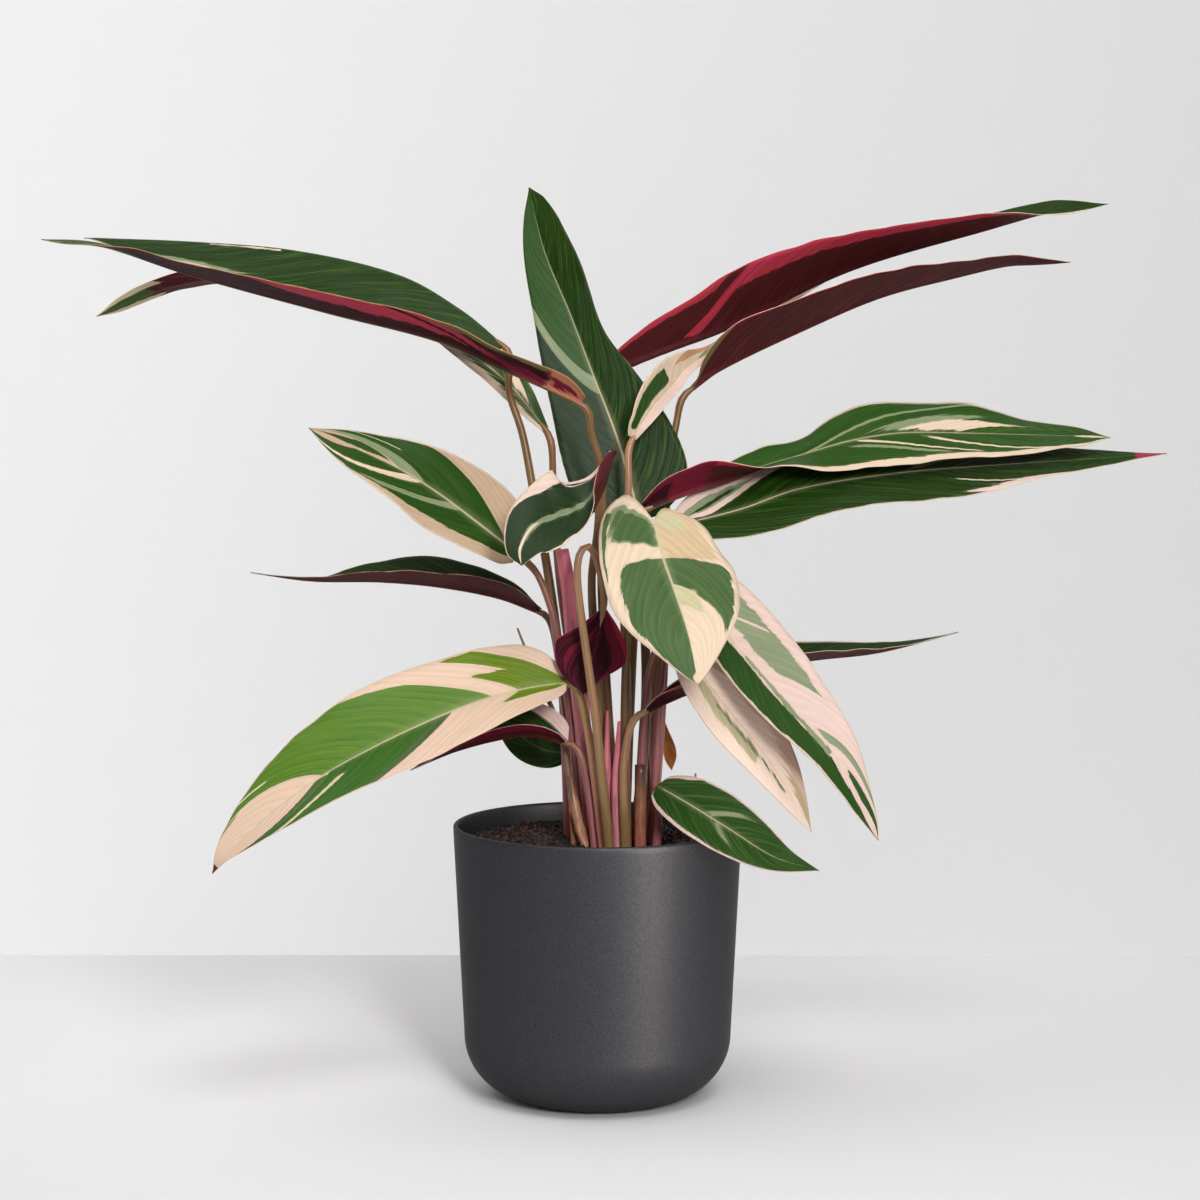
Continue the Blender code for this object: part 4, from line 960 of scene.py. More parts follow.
LOOKS = {
    "leaf_01": BladeLook(Tint.DARK, (
        Patch(Tint.CREAM, LEFT, 0.56, 0.72, 0.03, 0.08, lean=1.0, ragged=0.2, rounded=1.0),
        Patch(Tint.SAGE, LEFT, 0.4, 0.9, 0.84, ragged=0.4),
        Patch(Tint.CREAM, BOTH, 0.9, 1.4, 0.6, ragged=1.0),
    ), streaks=0.5, midrib=Tint.SOFT, rib_width=0.5, margin_width=0.06, vein_lean=2.6),
    "leaf_02": BladeLook(Tint.WINE, (
        Patch(Tint.OLIVE, LEFT, -0.2, 0.1, 0.8, ragged=0.8),
        Patch(Tint.CREAM, LEFT, 0.1, 0.42, 0.3, 1.5, 0.6, 1.5, ragged=0.7),
        Patch(Tint.WINE, LEFT, 0.14, 0.17, 0.2, ragged=0.5),
        Patch(Tint.CHERRY, LEFT, -0.3, 0.12, -0.3, 0.5, ragged=1.2),
        Patch(Tint.WINE, LEFT, -0.1, 0.02, 0.3, 0.7, ragged=1.2),
        Patch(Tint.TAN, BOTH, -0.5, 0.07, lean=1.0, ragged=1.4),
        Patch(Tint.CHERRY, BOTH, 0.0, 0.05, 0.25, 0.6, lean=0.8, ragged=1.8, rounded=1.0),
        Patch(Tint.TURNED, BOTH, 0.8, 1.3, 0.1, ragged=0.4),
        Patch(Tint.TURNED_PALE, BOTH, 0.84, 1.3, 0.62, ragged=0.4),
    ), streak=Tint.MAROON, streaks=0.3, midrib=Tint.OLIVE, margin=Tint.TAN, vein_lean=3.0),
    "leaf_03": BladeLook(Tint.FERN, (
        Patch(Tint.CREAM, LEFT, -0.3, 0.24, 0.5, ragged=1.0),
        Patch(Tint.CREAM, RIGHT, 0.04, 0.09, 0.2, 1.0, ragged=1.0),
        Patch(Tint.TURNED, BOTH, 0.88, 1.4, -0.3, 0.7, lean=0.6, ragged=0.4),
        Patch(Tint.TURNED_PALE, BOTH, 0.84, 1.4, 0.55, lean=0.6, ragged=0.4),
    ), streak=Tint.PALE, streaks=0.3),
    "leaf_04": BladeLook(Tint.DARK, (
        Patch(Tint.DEEP, LEFT, -0.6, 0.38), Patch(Tint.FERN, LEFT, 0.42, 1.3),
        Patch(Tint.SAGE, LEFT, 0.375, 0.43, ragged=0.35),
    ), streaks=0.4, rib_width=0.8, margin_width=0.0, vein_lean=1.5),
    "leaf_05": BladeLook(Tint.CREAM, (
        Patch(Tint.FERN, LEFT, 0.02, 0.2, 0.2, 0.75, lean=1.0),
        Patch(Tint.TAN, LEFT, 0.2, 0.34, 0.5, ragged=0.4), Patch(Tint.SAGE, LEFT, 0.34, 1.3, ragged=0.4),
        Patch(Tint.PINK, RIGHT, -0.3, 1.3, 0.3),
    ), streak=Tint.SAGE, streaks=0.2, midrib=Tint.CREAM),
    "leaf_06": BladeLook(Tint.DARK, (
        Patch(Tint.CREAM, RIGHT, -0.4, 0.11, 0.84),
        Patch(Tint.CREAM, RIGHT, 0.155, 0.19, 0.15, ragged=0.4),
        Patch(Tint.CREAM, RIGHT, 0.17, 0.8, 0.66, 1.5, 0.85, 1.5, ragged=0.5),
    ), streaks=0.3, midrib=Tint.MID),
    "leaf_07": BladeLook(Tint.DARK, (
        Patch(Tint.OLIVE, RIGHT, -0.8, -0.06, 0.2, ragged=0.6),
    ), streak=Tint.PALE, streaks=0.2, midrib=Tint.MID),
    "leaf_08": BladeLook(Tint.FERN, (
        Patch(Tint.SAGE, LEFT, 0.35, 0.38, 0.03, 0.96, ragged=0.2),
        Patch(Tint.SAGE, LEFT, 0.47, 0.56, 0.12, 0.6, ragged=0.8),
        Patch(Tint.CREAM, LEFT, 0.54, 0.68, 0.08, 0.45, ragged=0.6),
        Patch(Tint.CREAM, RIGHT, 0.46, 0.48, 0.05, 0.75, ragged=0.25),
        Patch(Tint.SAGE, RIGHT, 0.4, 0.43, 0.2, 0.7),
        Patch(Tint.CREAM, RIGHT, 0.58, 0.605, 0.15, ragged=0.4), Patch(Tint.CREAM, RIGHT, -0.5, 1.4, 0.8),
        Patch(Tint.CREAM, LEFT, -0.5, 0.2, 0.9, lean=1.0),
        Patch(Tint.CHERRY, BOTH, -0.5, 0.13, lean=0.9, ragged=0.5),
        Patch(Tint.WINE, BOTH, -0.5, 0.05, -0.3, 0.7, lean=0.9, ragged=0.8),
        Patch(Tint.CREAM, BOTH, 0.93, 1.4, ragged=1.0),
    ), streaks=0.6, rib_width=0.6, margin_width=0.05, vein_lean=3.4),
    "leaf_09": BladeLook(Tint.DARK, (
        Patch(Tint.PINK, LEFT, -0.5, 0.06, 0.1, ragged=0.4),
        Patch(Tint.SAGE, LEFT, -0.1, 0.02, 0.25, 0.7, ragged=0.6),
        Patch(Tint.DEEP, LEFT, -0.03, 0.0, 0.3, 0.62, ragged=0.6), Patch(Tint.SAGE, LEFT, 0.47, 0.5, 0.1),
        Patch(Tint.PINK, RIGHT, 0.34, 0.52, 0.86, 1.5, 0.76, 1.5, ragged=0.4),
        Patch(Tint.PINK, RIGHT, 0.48, 0.495, 0.4, ragged=0.2),
        Patch(Tint.CHERRY, BOTH, 0.94, 1.3, lean=1.0, ragged=1.0),
    ), streaks=0.55, rib_width=0.6, margin_width=0.015, vein_lean=2.6),
    "leaf_10": BladeLook(Tint.SAND, (
        Patch(Tint.FERN, RIGHT, 0.05, 0.5, -0.3, 0.92, -0.3, 1.5),
        Patch(Tint.FERN, LEFT, -0.16, 0.8, -0.3, 0.5, -0.3, 1.3, ragged=0.5),
        Patch(Tint.SAGE, LEFT, 0.29, 0.35, 0.03, 0.8, ragged=0.5),
        Patch(Tint.CREAM, LEFT, 0.5, 0.56, 0.02, 0.9, ragged=0.8),
        Patch(Tint.SAGE, RIGHT, 0.48, 0.6, 0.0, 0.8, ragged=0.6),
        Patch(Tint.CREAM, RIGHT, 0.36, 0.375, 0.6, ragged=0.2),
        Patch(Tint.FERN, RIGHT, 0.62, 0.84, 0.1, 0.45, ragged=0.5),
    ), streak=Tint.SAGE, streaks=0.15, rib_width=0.9, margin_width=0.04, vein_lean=2.3),
    "leaf_11": BladeLook(Tint.DEEP, (
        Patch(Tint.PINK, RIGHT, -0.8, 0.3, 0.5, 1.5, 0.7, 1.5, ragged=0.25),
        Patch(Tint.DEEP, RIGHT, -0.1, 0.0, 0.68, 0.84),
        Patch(Tint.SAGE, RIGHT, 0.1, 0.84, -0.3, 0.02, -0.3, 0.14, lean=1.0),
        Patch(Tint.SAGE, LEFT, 0.1, 0.84, -0.3, 0.05, -0.3, 0.02, lean=1.0),
        Patch(Tint.CREAM, RIGHT, 0.7, 1.0, 0.03, 0.05, 0.03, 0.22, lean=0.9, ragged=0.2, rounded=0.5),
    ), streak=Tint.DARK, streaks=0.5, midrib=Tint.SAGE, margin_width=0.07),
    "leaf_12": BladeLook(Tint.DARK, (
        Patch(Tint.TURNED_PALE, BOTH, 0.9, 1.4),
    ), streaks=0.4, midrib=Tint.MID, margin_width=0.0),
    "leaf_13": BladeLook(Tint.PEACH, (
        Patch(Tint.BRIGHT, RIGHT, -0.04, 0.12, -0.3, 0.5),
        Patch(Tint.BRIGHT, RIGHT, -0.06, 0.03, 0.2, 0.97),
        Patch(Tint.BRIGHT, LEFT, -0.04, 0.12, -0.3, 0.34),
        Patch(Tint.GREEN, RIGHT, 0.19, 0.65, -0.3, 0.76, -0.3, 1.9, ragged=0.35),
        Patch(Tint.MID, LEFT, 0.34, 0.63), Patch(Tint.SOFT, LEFT, 0.3, 0.35),
        Patch(Tint.CREAM, LEFT, 0.55, 0.575, 0.3), Patch(Tint.SOFT, LEFT, 0.63, 0.67, 0.05, ragged=0.4),
        Patch(Tint.CREAM, RIGHT, 0.585, 0.6, 0.72, ragged=0.2),
        Patch(Tint.GREEN, RIGHT, 0.66, 0.68, 0.8, ragged=0.2),
        Patch(Tint.MAROON, BOTH, 0.98, 1.3, lean=1.0, ragged=0.2),
    ), streak=Tint.CREAM, rib_width=0.9),
    "leaf_14": BladeLook(Tint.DARK, (
        Patch(Tint.PINK, RIGHT, -0.5, -0.02, 0.2, ragged=1.0),
        Patch(Tint.CHERRY, LEFT, -0.4, 1.3, 0.5, ragged=0.6),
    ), streaks=0.4, midrib=Tint.SOFT, margin=Tint.PINK, margin_width=0.05),
    "leaf_15": BladeLook(Tint.DARK, streaks=0.4, midrib=Tint.SOFT, margin_width=0.0),
    "leaf_16": BladeLook(Tint.WINE, (
        Patch(Tint.CHERRY, RIGHT, -0.9, 0.12, 0.2, ragged=0.5),
        Patch(Tint.ROSE, RIGHT, -0.9, -0.3, 0.7, ragged=0.4),
        Patch(Tint.CHERRY, LEFT, 0.1, 0.24, 0.15, 0.8, ragged=0.5),
        Patch(Tint.CHERRY, LEFT, -0.9, -0.3, 0.4, ragged=0.4),
    ), streak=Tint.CHERRY, streaks=0.5, midrib=Tint.CHERRY, rib_width=0.5),
    "leaf_17": BladeLook(Tint.CREAM, (
        Patch(Tint.BUTTER, LEFT, -0.5, 0.24, 0.0, 0.86, lean=0.85, ragged=1.0, rounded=6.0),
        Patch(Tint.PALE, LEFT, -0.5, 0.06, 0.1, 0.6, lean=0.85, ragged=1.6, rounded=4.0),
        Patch(Tint.SAGE, RIGHT, 0.03, 0.18, 0.0, 0.84, lean=1.0, ragged=0.8, rounded=6.0),
        Patch(Tint.SOFT, RIGHT, 0.05, 0.17, 0.05, 0.78, lean=1.0, ragged=1.0, rounded=6.0),
        Patch(Tint.SOFT, RIGHT, 0.06, 0.44, 0.84, 0.98, 0.97, 0.98, lean=1.0, rounded=0.5),
        Patch(Tint.SOFT, RIGHT, 0.25, 0.94, -0.6, 0.74, -0.6, 0.95, lean=0.85, ragged=0.6, rounded=11.0),
        Patch(Tint.SOFT, LEFT, 0.25, 0.92, -0.6, 0.92, -0.6, 0.86, lean=0.8, ragged=0.5, rounded=9.0),
        Patch(Tint.CREAM, LEFT, 0.42, 1.6, lean=0.25, ragged=0.8),
        Patch(Tint.PALE, LEFT, 0.42, 0.54, 0.0, 0.3, lean=0.5, ragged=1.4),
    ), streak=Tint.PALE, rib_width=0.9, margin_width=0.05),
    "leaf_18": BladeLook(Tint.PINK, (
        Patch(Tint.SAGE, LEFT, -0.3, 0.36, 0.05, 0.8, 0.25, 0.74, ragged=0.6),
        Patch(Tint.PINK, LEFT, 0.1, 0.115, 0.2, 0.7, ragged=0.2),
        Patch(Tint.FERN, RIGHT, -0.4, 0.84, 0.05, 0.93, 0.3, 0.93, ragged=0.4),
        Patch(Tint.SAGE, RIGHT, 0.3, 0.7, 0.0, 0.1, 0.1, 0.3, lean=1.0, ragged=0.5),
        Patch(Tint.SAGE, LEFT, 0.6, 0.66, 0.05, ragged=0.5),
        Patch(Tint.FERN, LEFT, 0.74, 0.86, 0.1, 0.8, ragged=0.5),
    ), streak=Tint.CREAM, streaks=0.3, midrib=Tint.CREAM, rib_width=0.8),
    "leaf_19": BladeLook(Tint.BLUSH, (
        Patch(Tint.PEACH, LEFT, -0.3, 1.3, 0.6, ragged=1.0),
        Patch(Tint.BUTTER, LEFT, 0.6, 1.3, 0.35, ragged=1.0),
        Patch(Tint.PALE, RIGHT, 0.15, 0.6, 0.12, 0.4, 0.14, 0.6, lean=0.8, ragged=0.7),
        Patch(Tint.SAGE, RIGHT, 0.34, 0.8, 0.16, 0.28, 0.2, 0.3, lean=0.9, ragged=0.5, rounded=1.0),
        Patch(Tint.DEEP, RIGHT, 0.06, 0.13, -0.2, 0.14, lean=1.0, ragged=0.5),
        Patch(Tint.PALE, LEFT, 0.0, 0.08, 0.3, 0.7, ragged=0.5),
    ), streak=Tint.CREAM, streaks=0.4, midrib=Tint.CREAM, rib_width=0.6, vein_lean=2.6),
    "leaf_20": BladeLook(Tint.DARK, (
        Patch(Tint.WINE, BOTH, -0.6, 0.1, ragged=0.4),
        Patch(Tint.CREAM, RIGHT, -0.3, 0.06, 0.8, ragged=0.2),
    ), streaks=0.4, midrib=Tint.MID, margin_width=0.07),
    "leaf_21": BladeLook(Tint.FERN, (
        Patch(Tint.PINK, RIGHT, -0.6, 0.5, 0.78, 1.5, 0.97, 1.5), Patch(Tint.PINK, LEFT, -0.6, -0.1, 0.8),
        Patch(Tint.SAGE, LEFT, 0.3, 0.34, 0.05, 0.7, ragged=0.8),
        Patch(Tint.SAGE, RIGHT, 0.36, 0.4, 0.05, 0.5, ragged=0.8),
    ), streak=Tint.SAGE, streaks=0.15, rib_width=0.6, margin=Tint.PINK, margin_width=0.05),
    "leaf_22": BladeLook(Tint.DRY, streak=Tint.TAN, streaks=0.5, midrib=Tint.DRY, margin_width=0.0),
}


@dataclass
class Blade:
    """One leaf blade with its fine surface.

    Attributes:
        shape: where the blade lies and how wide it is.
        look: its pattern.
        groups: the shared leaf groups.
        row_length: length of a face along the midrib.
        columns: faces across each side.
        thickness: thickness at the midrib and at the margin.
        tip: half width of the blade's very tip and base.
        pleat: height of the soft folds along the side veins.
        ripple_length: length of the fine ripples along the margin.
        narrow: half width below which folds and ripples fade.
        keel: how far the midrib stands out below at the base.
        keel_width: half width of that ridge.
        fold_steps: straight steps in which a half is bent out to its margin.
        seed_step: how far apart the streaks of two blades are drawn.
    """

    shape: BladeShape
    look: BladeLook
    groups: LeafGroups
    row_length: float = 2.2
    columns: int = 28
    thickness: tuple = (0.7, 0.3)
    tip: float = 0.25
    pleat: float = 0.2
    ripple_length: float = 14.0
    narrow: float = 8.0
    keel: float = 1.5
    keel_width: float = 1.3
    fold_steps: int = 6
    seed_step: float = 3.7
    path: Path = field(init=False)
    rows: int = field(init=False)
    widest: float = field(init=False)

    def __post_init__(self) -> None:
        """Trace the midrib and find the widest place."""
        self.path = Path(self.shape.rib)
        self.rows = max(40, int(self.path.length / self.row_length))
        self.widest = max(self.half_width(k / 20.0, right) for k in range(21) for right in (False, True))

    def half_width(self, place: float, right: bool) -> float:
        """Return the half width of one half at one place."""
        keys = self.shape.edge_right if right else self.shape.edge_left
        widest = self.shape.right if right else self.shape.left
        width = edge_width(keys, place) if keys else widest * half_shape(place, self.shape.belly)
        return max(width, self.tip)

    def point(self, place: float, across: float) -> Vector:
        """Return a point in the middle of the blade's thickness.

        Args:
            place: 0 at the base to 1 at the tip.
            across: -1 at the left margin to 1 at the right one.

        Returns:
            The point in millimetres.
        """
        shape = self.shape
        length = self.path.length
        out = abs(across)
        along = self.path.along(place)
        facing = keyed([(u, Vector(d)) for u, d in shape.facing], place)
        up = (facing - along * facing.dot(along)).normalized()
        side = along.cross(up)
        right = across > 0.0
        width = self.half_width(place, right)
        slack = min(width / self.narrow, 1.0)
        fold = keyed(shape.fold_right if right else shape.fold_left, place) * slack
        curl = keyed(shape.curl_right if right else shape.curl_left, place) * slack
        point = self.path.at(place)
        reach = out * width / self.fold_steps
        way = side if right else -side
        for k in range(self.fold_steps):
            angle = math.radians(fold + curl * out * (k + 0.5) / self.fold_steps)
            point = point + (way * math.cos(angle) + up * math.sin(angle)) * reach
        height, count, phase = shape.wave
        swell = height * math.sin(FULL_TURN * count * place + phase + (1.2 if right else 0.0))
        point = point + up * (swell * across * across * math.sin(math.pi * place))
        spot = Vector((place * length / self.ripple_length, across * 0.6, len(shape.name) + shape.belly))
        point = point + up * (shape.ripple * slack * noise.noise(spot) * 2.0 * out ** 3)
        vein = place * length - self.look.vein_lean * self.widest * out ** VEIN_BEND
        pleat = self.pleat * math.sin(FULL_TURN * vein / VEIN_SPACING + (2.0 if right else 0.0))
        point = point + up * (pleat * slack * math.sin(math.pi * min(out * 1.1, 1.0)))
        back = out * (2.0 - out) * (1.0 - place) ** 6
        return point - along * (shape.lobe[right] * back)

    def ridge(self, place: float, across: float) -> float:
        """Return how far the midrib stands out below at one place."""
        width = self.half_width(place, across > 0.0)
        reach = abs(across) * width / self.keel_width
        return self.keel * max(1.0 - place, 0.0) ** 1.6 * math.exp(-reach * reach)

    def build(self) -> bpy.types.Object:
        """Build the closed blade with its UV and its two skins.

        Returns:
            The blade's object.
        """
        rows = self.rows
        cols = self.columns
        places = []
        for i in range(rows + 1):
            crowded = 0.5 - 0.5 * math.cos(math.pi * i / rows)
            places.append(crowded * 0.3 + 0.7 * i / rows)
        acrosses = [math.copysign(abs(2.0 * j / cols - 1.0) ** 1.4, 2 * j - cols) for j in range(cols + 1)]
        grid = [[self.point(u, v) for v in acrosses] for u in places]
        upper = []
        lower = []
        for i in range(rows + 1):
            for j in range(cols + 1):
                du = grid[min(i + 1, rows)][j] - grid[max(i - 1, 0)][j]
                dv = grid[i][min(j + 1, cols)] - grid[i][max(j - 1, 0)]
                across = abs(acrosses[j])
                thick = self.thickness[0] + (self.thickness[1] - self.thickness[0]) * across
                normal = dv.cross(du).normalized()
                upper.append(grid[i][j] + normal * (thick / 2.0))
                lower.append(grid[i][j] - normal * (thick / 2.0 + self.ridge(places[i], acrosses[j])))
        count = len(upper)
        wide = cols + 1
        faces = []
        for i in range(rows):
            for j in range(cols):
                a = i * wide + j
                b, c, d = a + 1, a + wide + 1, a + wide
                faces.append((a, b, c, d))
                faces.append((count + a, count + d, count + c, count + b))
        rim = list(range(cols)) + [i * wide + cols for i in range(rows)]
        rim += [rows * wide + cols - j for j in range(cols)] + [(rows - i) * wide for i in range(rows)]
        for a, b in zip(rim, rim[1:] + rim[:1]):
            faces.append((a, count + a, count + b, b))
        item = make_object(f"{self.shape.name}_skin", upper + lower, faces)
        self.unwrap(item, places, acrosses)
        self.dress(item, count)
        return item

    def unwrap(self, item: bpy.types.Object, places: list, acrosses: list) -> None:
        """Store each corner's place along and across the blade as its UV."""
        layer = item.data.uv_layers.new(name=BLADE_UV)
        wide = len(acrosses)
        count = wide * len(places)
        values = []
        for loop in item.data.loops:
            spot = loop.vertex_index % count
            values += [places[spot // wide], 0.5 + 0.5 * acrosses[spot % wide]]
        layer.data.foreach_set("uv", values)

    def dress(self, item: bpy.types.Object, count: int) -> None:
        """Give the upper side and the underside their skins."""
        shape = self.shape
        seed = self.seed_step * int(shape.name[-2:])
        for underside in (False, True):
            finish = LeafFinish(self.look, self.path.length, self.widest, seed, underside)
            label = f"{shape.name}_{'under' if underside else 'upper'}"
            item.data.materials.append(finish.build(label, self.groups))
        for face in item.data.polygons:
            face.material_index = 1 if min(face.vertices) >= count else 0


@dataclass(frozen=True)
class StalkShape:
    """A stem without a blade: a sheath, a young shoot or a cut stub.

    Attributes:
        name: name of the CAD node.
        path: its place in the soil, then points up to its end.
        radii: radii spread evenly along it.
        slot: the name of a finish slot; not used.
        crumple: how uneven its skin is, as a share of the radius.
    """

    name: str
    path: tuple
    radii: tuple
    slot: str = "leaf_stalk"
    crumple: float = 0.0


STALKS = (
    StalkShape("sheath_1", ((-3, -17), (-8, -19, 200), (-14, -21, 262), (-18, -22, 286)),
               (3.2, 4.2, 4.9, 3.4), "pink_sheath"),
    StalkShape("sheath_2", ((10.5, -33), (9.5, -34.5, 170), (11, -36, 200)), (3.0, 2.4, 0.8), "pink_sheath"),
    StalkShape("sheath_3", ((7, -25), (5, -31, 180), (5, -32, 205)), (2.4, 2.2, 0.7), "pink_sheath"),
    StalkShape("old_sheath", ((-7, -25), (-11, -23, 150), (-14, -21, 170)), (2.8, 2.6, 1.2), "dry_sheath",
               crumple=0.7),
    StalkShape("stub", ((21.7, -37), (21.7, -37, 160), (21.7, -36.5, 178)), (3.0, 3.0, 2.8)),
    StalkShape("shoot_1", ((-12, -19), (-14, -18, 165), (-19, -15, 192), (-26, -13, 210), (-38, -12, 237),
                           (-41, -12, 245)), (1.8, 1.7, 1.2, 0.5)),
    StalkShape("shoot_2", ((49, -22), (50, -24, 155), (50, -26, 172)), (1.5, 1.2, 0.5)),
)


@dataclass(frozen=True)
class StalkFinish:
    """The satin skin of a stem, which changes colour from foot to top.

    Attributes:
        low, middle, high: display colours at the soil, half way and at the top.
        stripe: colour of the soft stripes that run up the stem.
    """

    low: Colour
    middle: Colour
    high: Colour
    stripe: Colour

    def build(self, name: str, seed: float) -> bpy.types.Material:
        """Build the material.

        Args:
            name: name of the material.
            seed: what makes this stem's stripes its own.

        Returns:
            The material.
        """
        material, g, shader = new_material(name)
        uv = g.node("ShaderNodeUVMap", uv_map=BLADE_UV)
        parts = g.node("ShaderNodeSeparateXYZ")
        g.feed(parts.inputs[0], uv.outputs[0])
        lower = g.ramp(parts.outputs[0], 0.05, 0.5)
        upper = g.ramp(parts.outputs[0], 0.45, 0.95)
        colour = g.mix(upper, g.mix(lower, linear(self.low), linear(self.middle)), linear(self.high))
        stretch = g.node("ShaderNodeMapping")
        g.feed(stretch.inputs["Vector"], uv.outputs[0])
        stretch.inputs["Location"].default_value = (seed, seed * 0.7, seed * 1.3)
        stretch.inputs["Scale"].default_value = (1.6, 2.4, 1.0)
        streak = g.noise(stretch.outputs[0], 3.0, 4.0, 0.55)
        colour = g.mix(g.math("MULTIPLY", g.ramp(streak, 0.46, 0.6), 0.6), colour, linear(self.stripe))
        fine = g.noise(stretch.outputs[0], 9.0, 3.0, 0.6)
        shade = g.node("ShaderNodeHueSaturation")
        g.feed(shade.inputs["Color"], colour)
        g.feed(shade.inputs["Value"], g.math("MULTIPLY_ADD", fine, 0.8, 0.6))
        g.feed(shader.inputs["Base Color"], shade.outputs[0])
        shader.inputs["Roughness"].default_value = 0.38
        return material


OLIVE_STEM = StalkFinish((150, 100, 76), (112, 84, 48), (124, 88, 44), (86, 62, 36))
MAUVE_STEM = StalkFinish((176, 106, 108), (146, 88, 90), (124, 84, 50), (112, 72, 44))
PEACH_STEM = StalkFinish((196, 132, 110), (176, 136, 92), (146, 140, 60), (178, 84, 88))
TAN_STEM = StalkFinish((130, 104, 58), (150, 112, 78), (160, 118, 84), (112, 76, 60))
PINK_SHEATH = StalkFinish((196, 124, 130), (216, 132, 142), (196, 104, 116), (170, 82, 96))
DRY_SHEATH = StalkFinish((172, 124, 92), (164, 114, 80), (116, 80, 54), (92, 58, 42))
STUB_STEM = StalkFinish((160, 92, 76), (150, 96, 62), (62, 44, 28), (104, 56, 48))
DRY_STALK = StalkFinish((140, 86, 48), (160, 98, 46), (150, 88, 38), (110, 64, 30))

STEM_FINISHES = {
    **dict.fromkeys(("leaf_03", "leaf_06", "leaf_09", "leaf_10", "leaf_12", "leaf_14", "leaf_18", "leaf_19",
                     "leaf_21"), MAUVE_STEM),
    **dict.fromkeys(("leaf_05", "leaf_16", "leaf_20"), TAN_STEM),
    **dict.fromkeys(("sheath_1", "sheath_2", "sheath_3", "shoot_2"), PINK_SHEATH),
    "leaf_13": PEACH_STEM, "leaf_22": DRY_STALK, "old_sheath": DRY_SHEATH, "stub": STUB_STEM,
}


@dataclass
class Stem:
    """One round stem, sheath or shoot standing in the soil.

    Attributes:
        name: name of the CAD node.
        path: its place in the soil, then points up to its end.
        radii: radii spread evenly along it.
        finish: its skin.
        swelling: how much thicker the joint below the blade is.
        joint_length: length of that joint.
        taper: length of the last stretch, which narrows under the midrib.
        narrowing: how much of the radius is gone at its end.
        crumple: how uneven its skin is, as a share of the radius.
        sides, ring_length: faces round the stem and length of one face.
        soil_top: height of the soil's middle.
        depth: how far the stem reaches into the soil.
    """

    name: str
    path: tuple
    radii: tuple
    finish: StalkFinish
    swelling: float = 0.0
    taper: float = 0.0
    crumple: float = 0.0
    joint_length: float = 14.0
    narrowing: float = 0.75
    sides: int = 14
    ring_length: float = 4.0
    soil_top: float = 134.5
    depth: float = 16.0

    def build(self) -> bpy.types.Object:
        """Build the stem as a closed tube.

        Returns:
            The stem's object.
        """
        x, y = self.path[0]
        curve = Path(softened([(x, y, self.soil_top + 2.0), *self.path[1:]]))
        rings = max(10, int(curve.length / self.ring_length))
        centres = [Vector((x, y, self.soil_top - self.depth))]
        sizes = [self.radii[0]]
        turns = [Vector((0, 0, 1))]
        shares = [0.0]
        for i in range(rings + 1):
            share = i / rings
            centres.append(curve.at(share))
            turns.append(Vector((0, 0, 1)) if i == 0 else curve.along(share))
            sizes.append(self.radius_at(share, curve.length))
            shares.append(share)
        side = Vector((1, 0, 0))
        points = []
        for centre, size, turn in zip(centres, sizes, turns):
            side = (side - turn * side.dot(turn)).normalized()
            other = turn.cross(side)
            for k in range(self.sides):
                angle = FULL_TURN * k / self.sides
                out = side * math.cos(angle) + other * math.sin(angle)
                dent = noise.noise((centre + out * size) * 0.45) * self.crumple
                points.append(centre + out * (size * (1.0 + dent)))
        faces = []
        for i in range(len(centres) - 1):
            for k in range(self.sides):
                a = i * self.sides + k
                b = i * self.sides + (k + 1) % self.sides
                faces.append((a, b, b + self.sides, a + self.sides))
        last = (len(centres) - 1) * self.sides
        faces.append(tuple(reversed(range(self.sides))))
        faces.append(tuple(last + k for k in range(self.sides)))
        item = make_object(f"{self.name}_skin", points, faces)
        layer = item.data.uv_layers.new(name=BLADE_UV)
        values = []
        for loop in item.data.loops:
            ring, turn = divmod(loop.vertex_index, self.sides)
            values += [shares[ring], abs(turn / self.sides - 0.5) * 2.0]
        layer.data.foreach_set("uv", values)
        item.data.materials.append(self.finish.build(f"{self.name}_stalk", 5.3 * x + 3.1 * y))
        return item

    def radius_at(self, share: float, length: float) -> float:
        """Return the radius at a share of the stem above the soil."""
        slot = min(share * (len(self.radii) - 1), len(self.radii) - 1.0001)
        low = int(slot)
        size = self.radii[low] + (self.radii[low + 1] - self.radii[low]) * (slot - low)
        joint = (1.0 - share) * length - self.taper
        if self.swelling and 0.0 < joint < self.joint_length:
            size *= 1.0 + self.swelling * math.sin(math.pi * joint / self.joint_length)
        if joint < 0.0:
            size *= 1.0 + self.narrowing * joint / self.taper
        return size


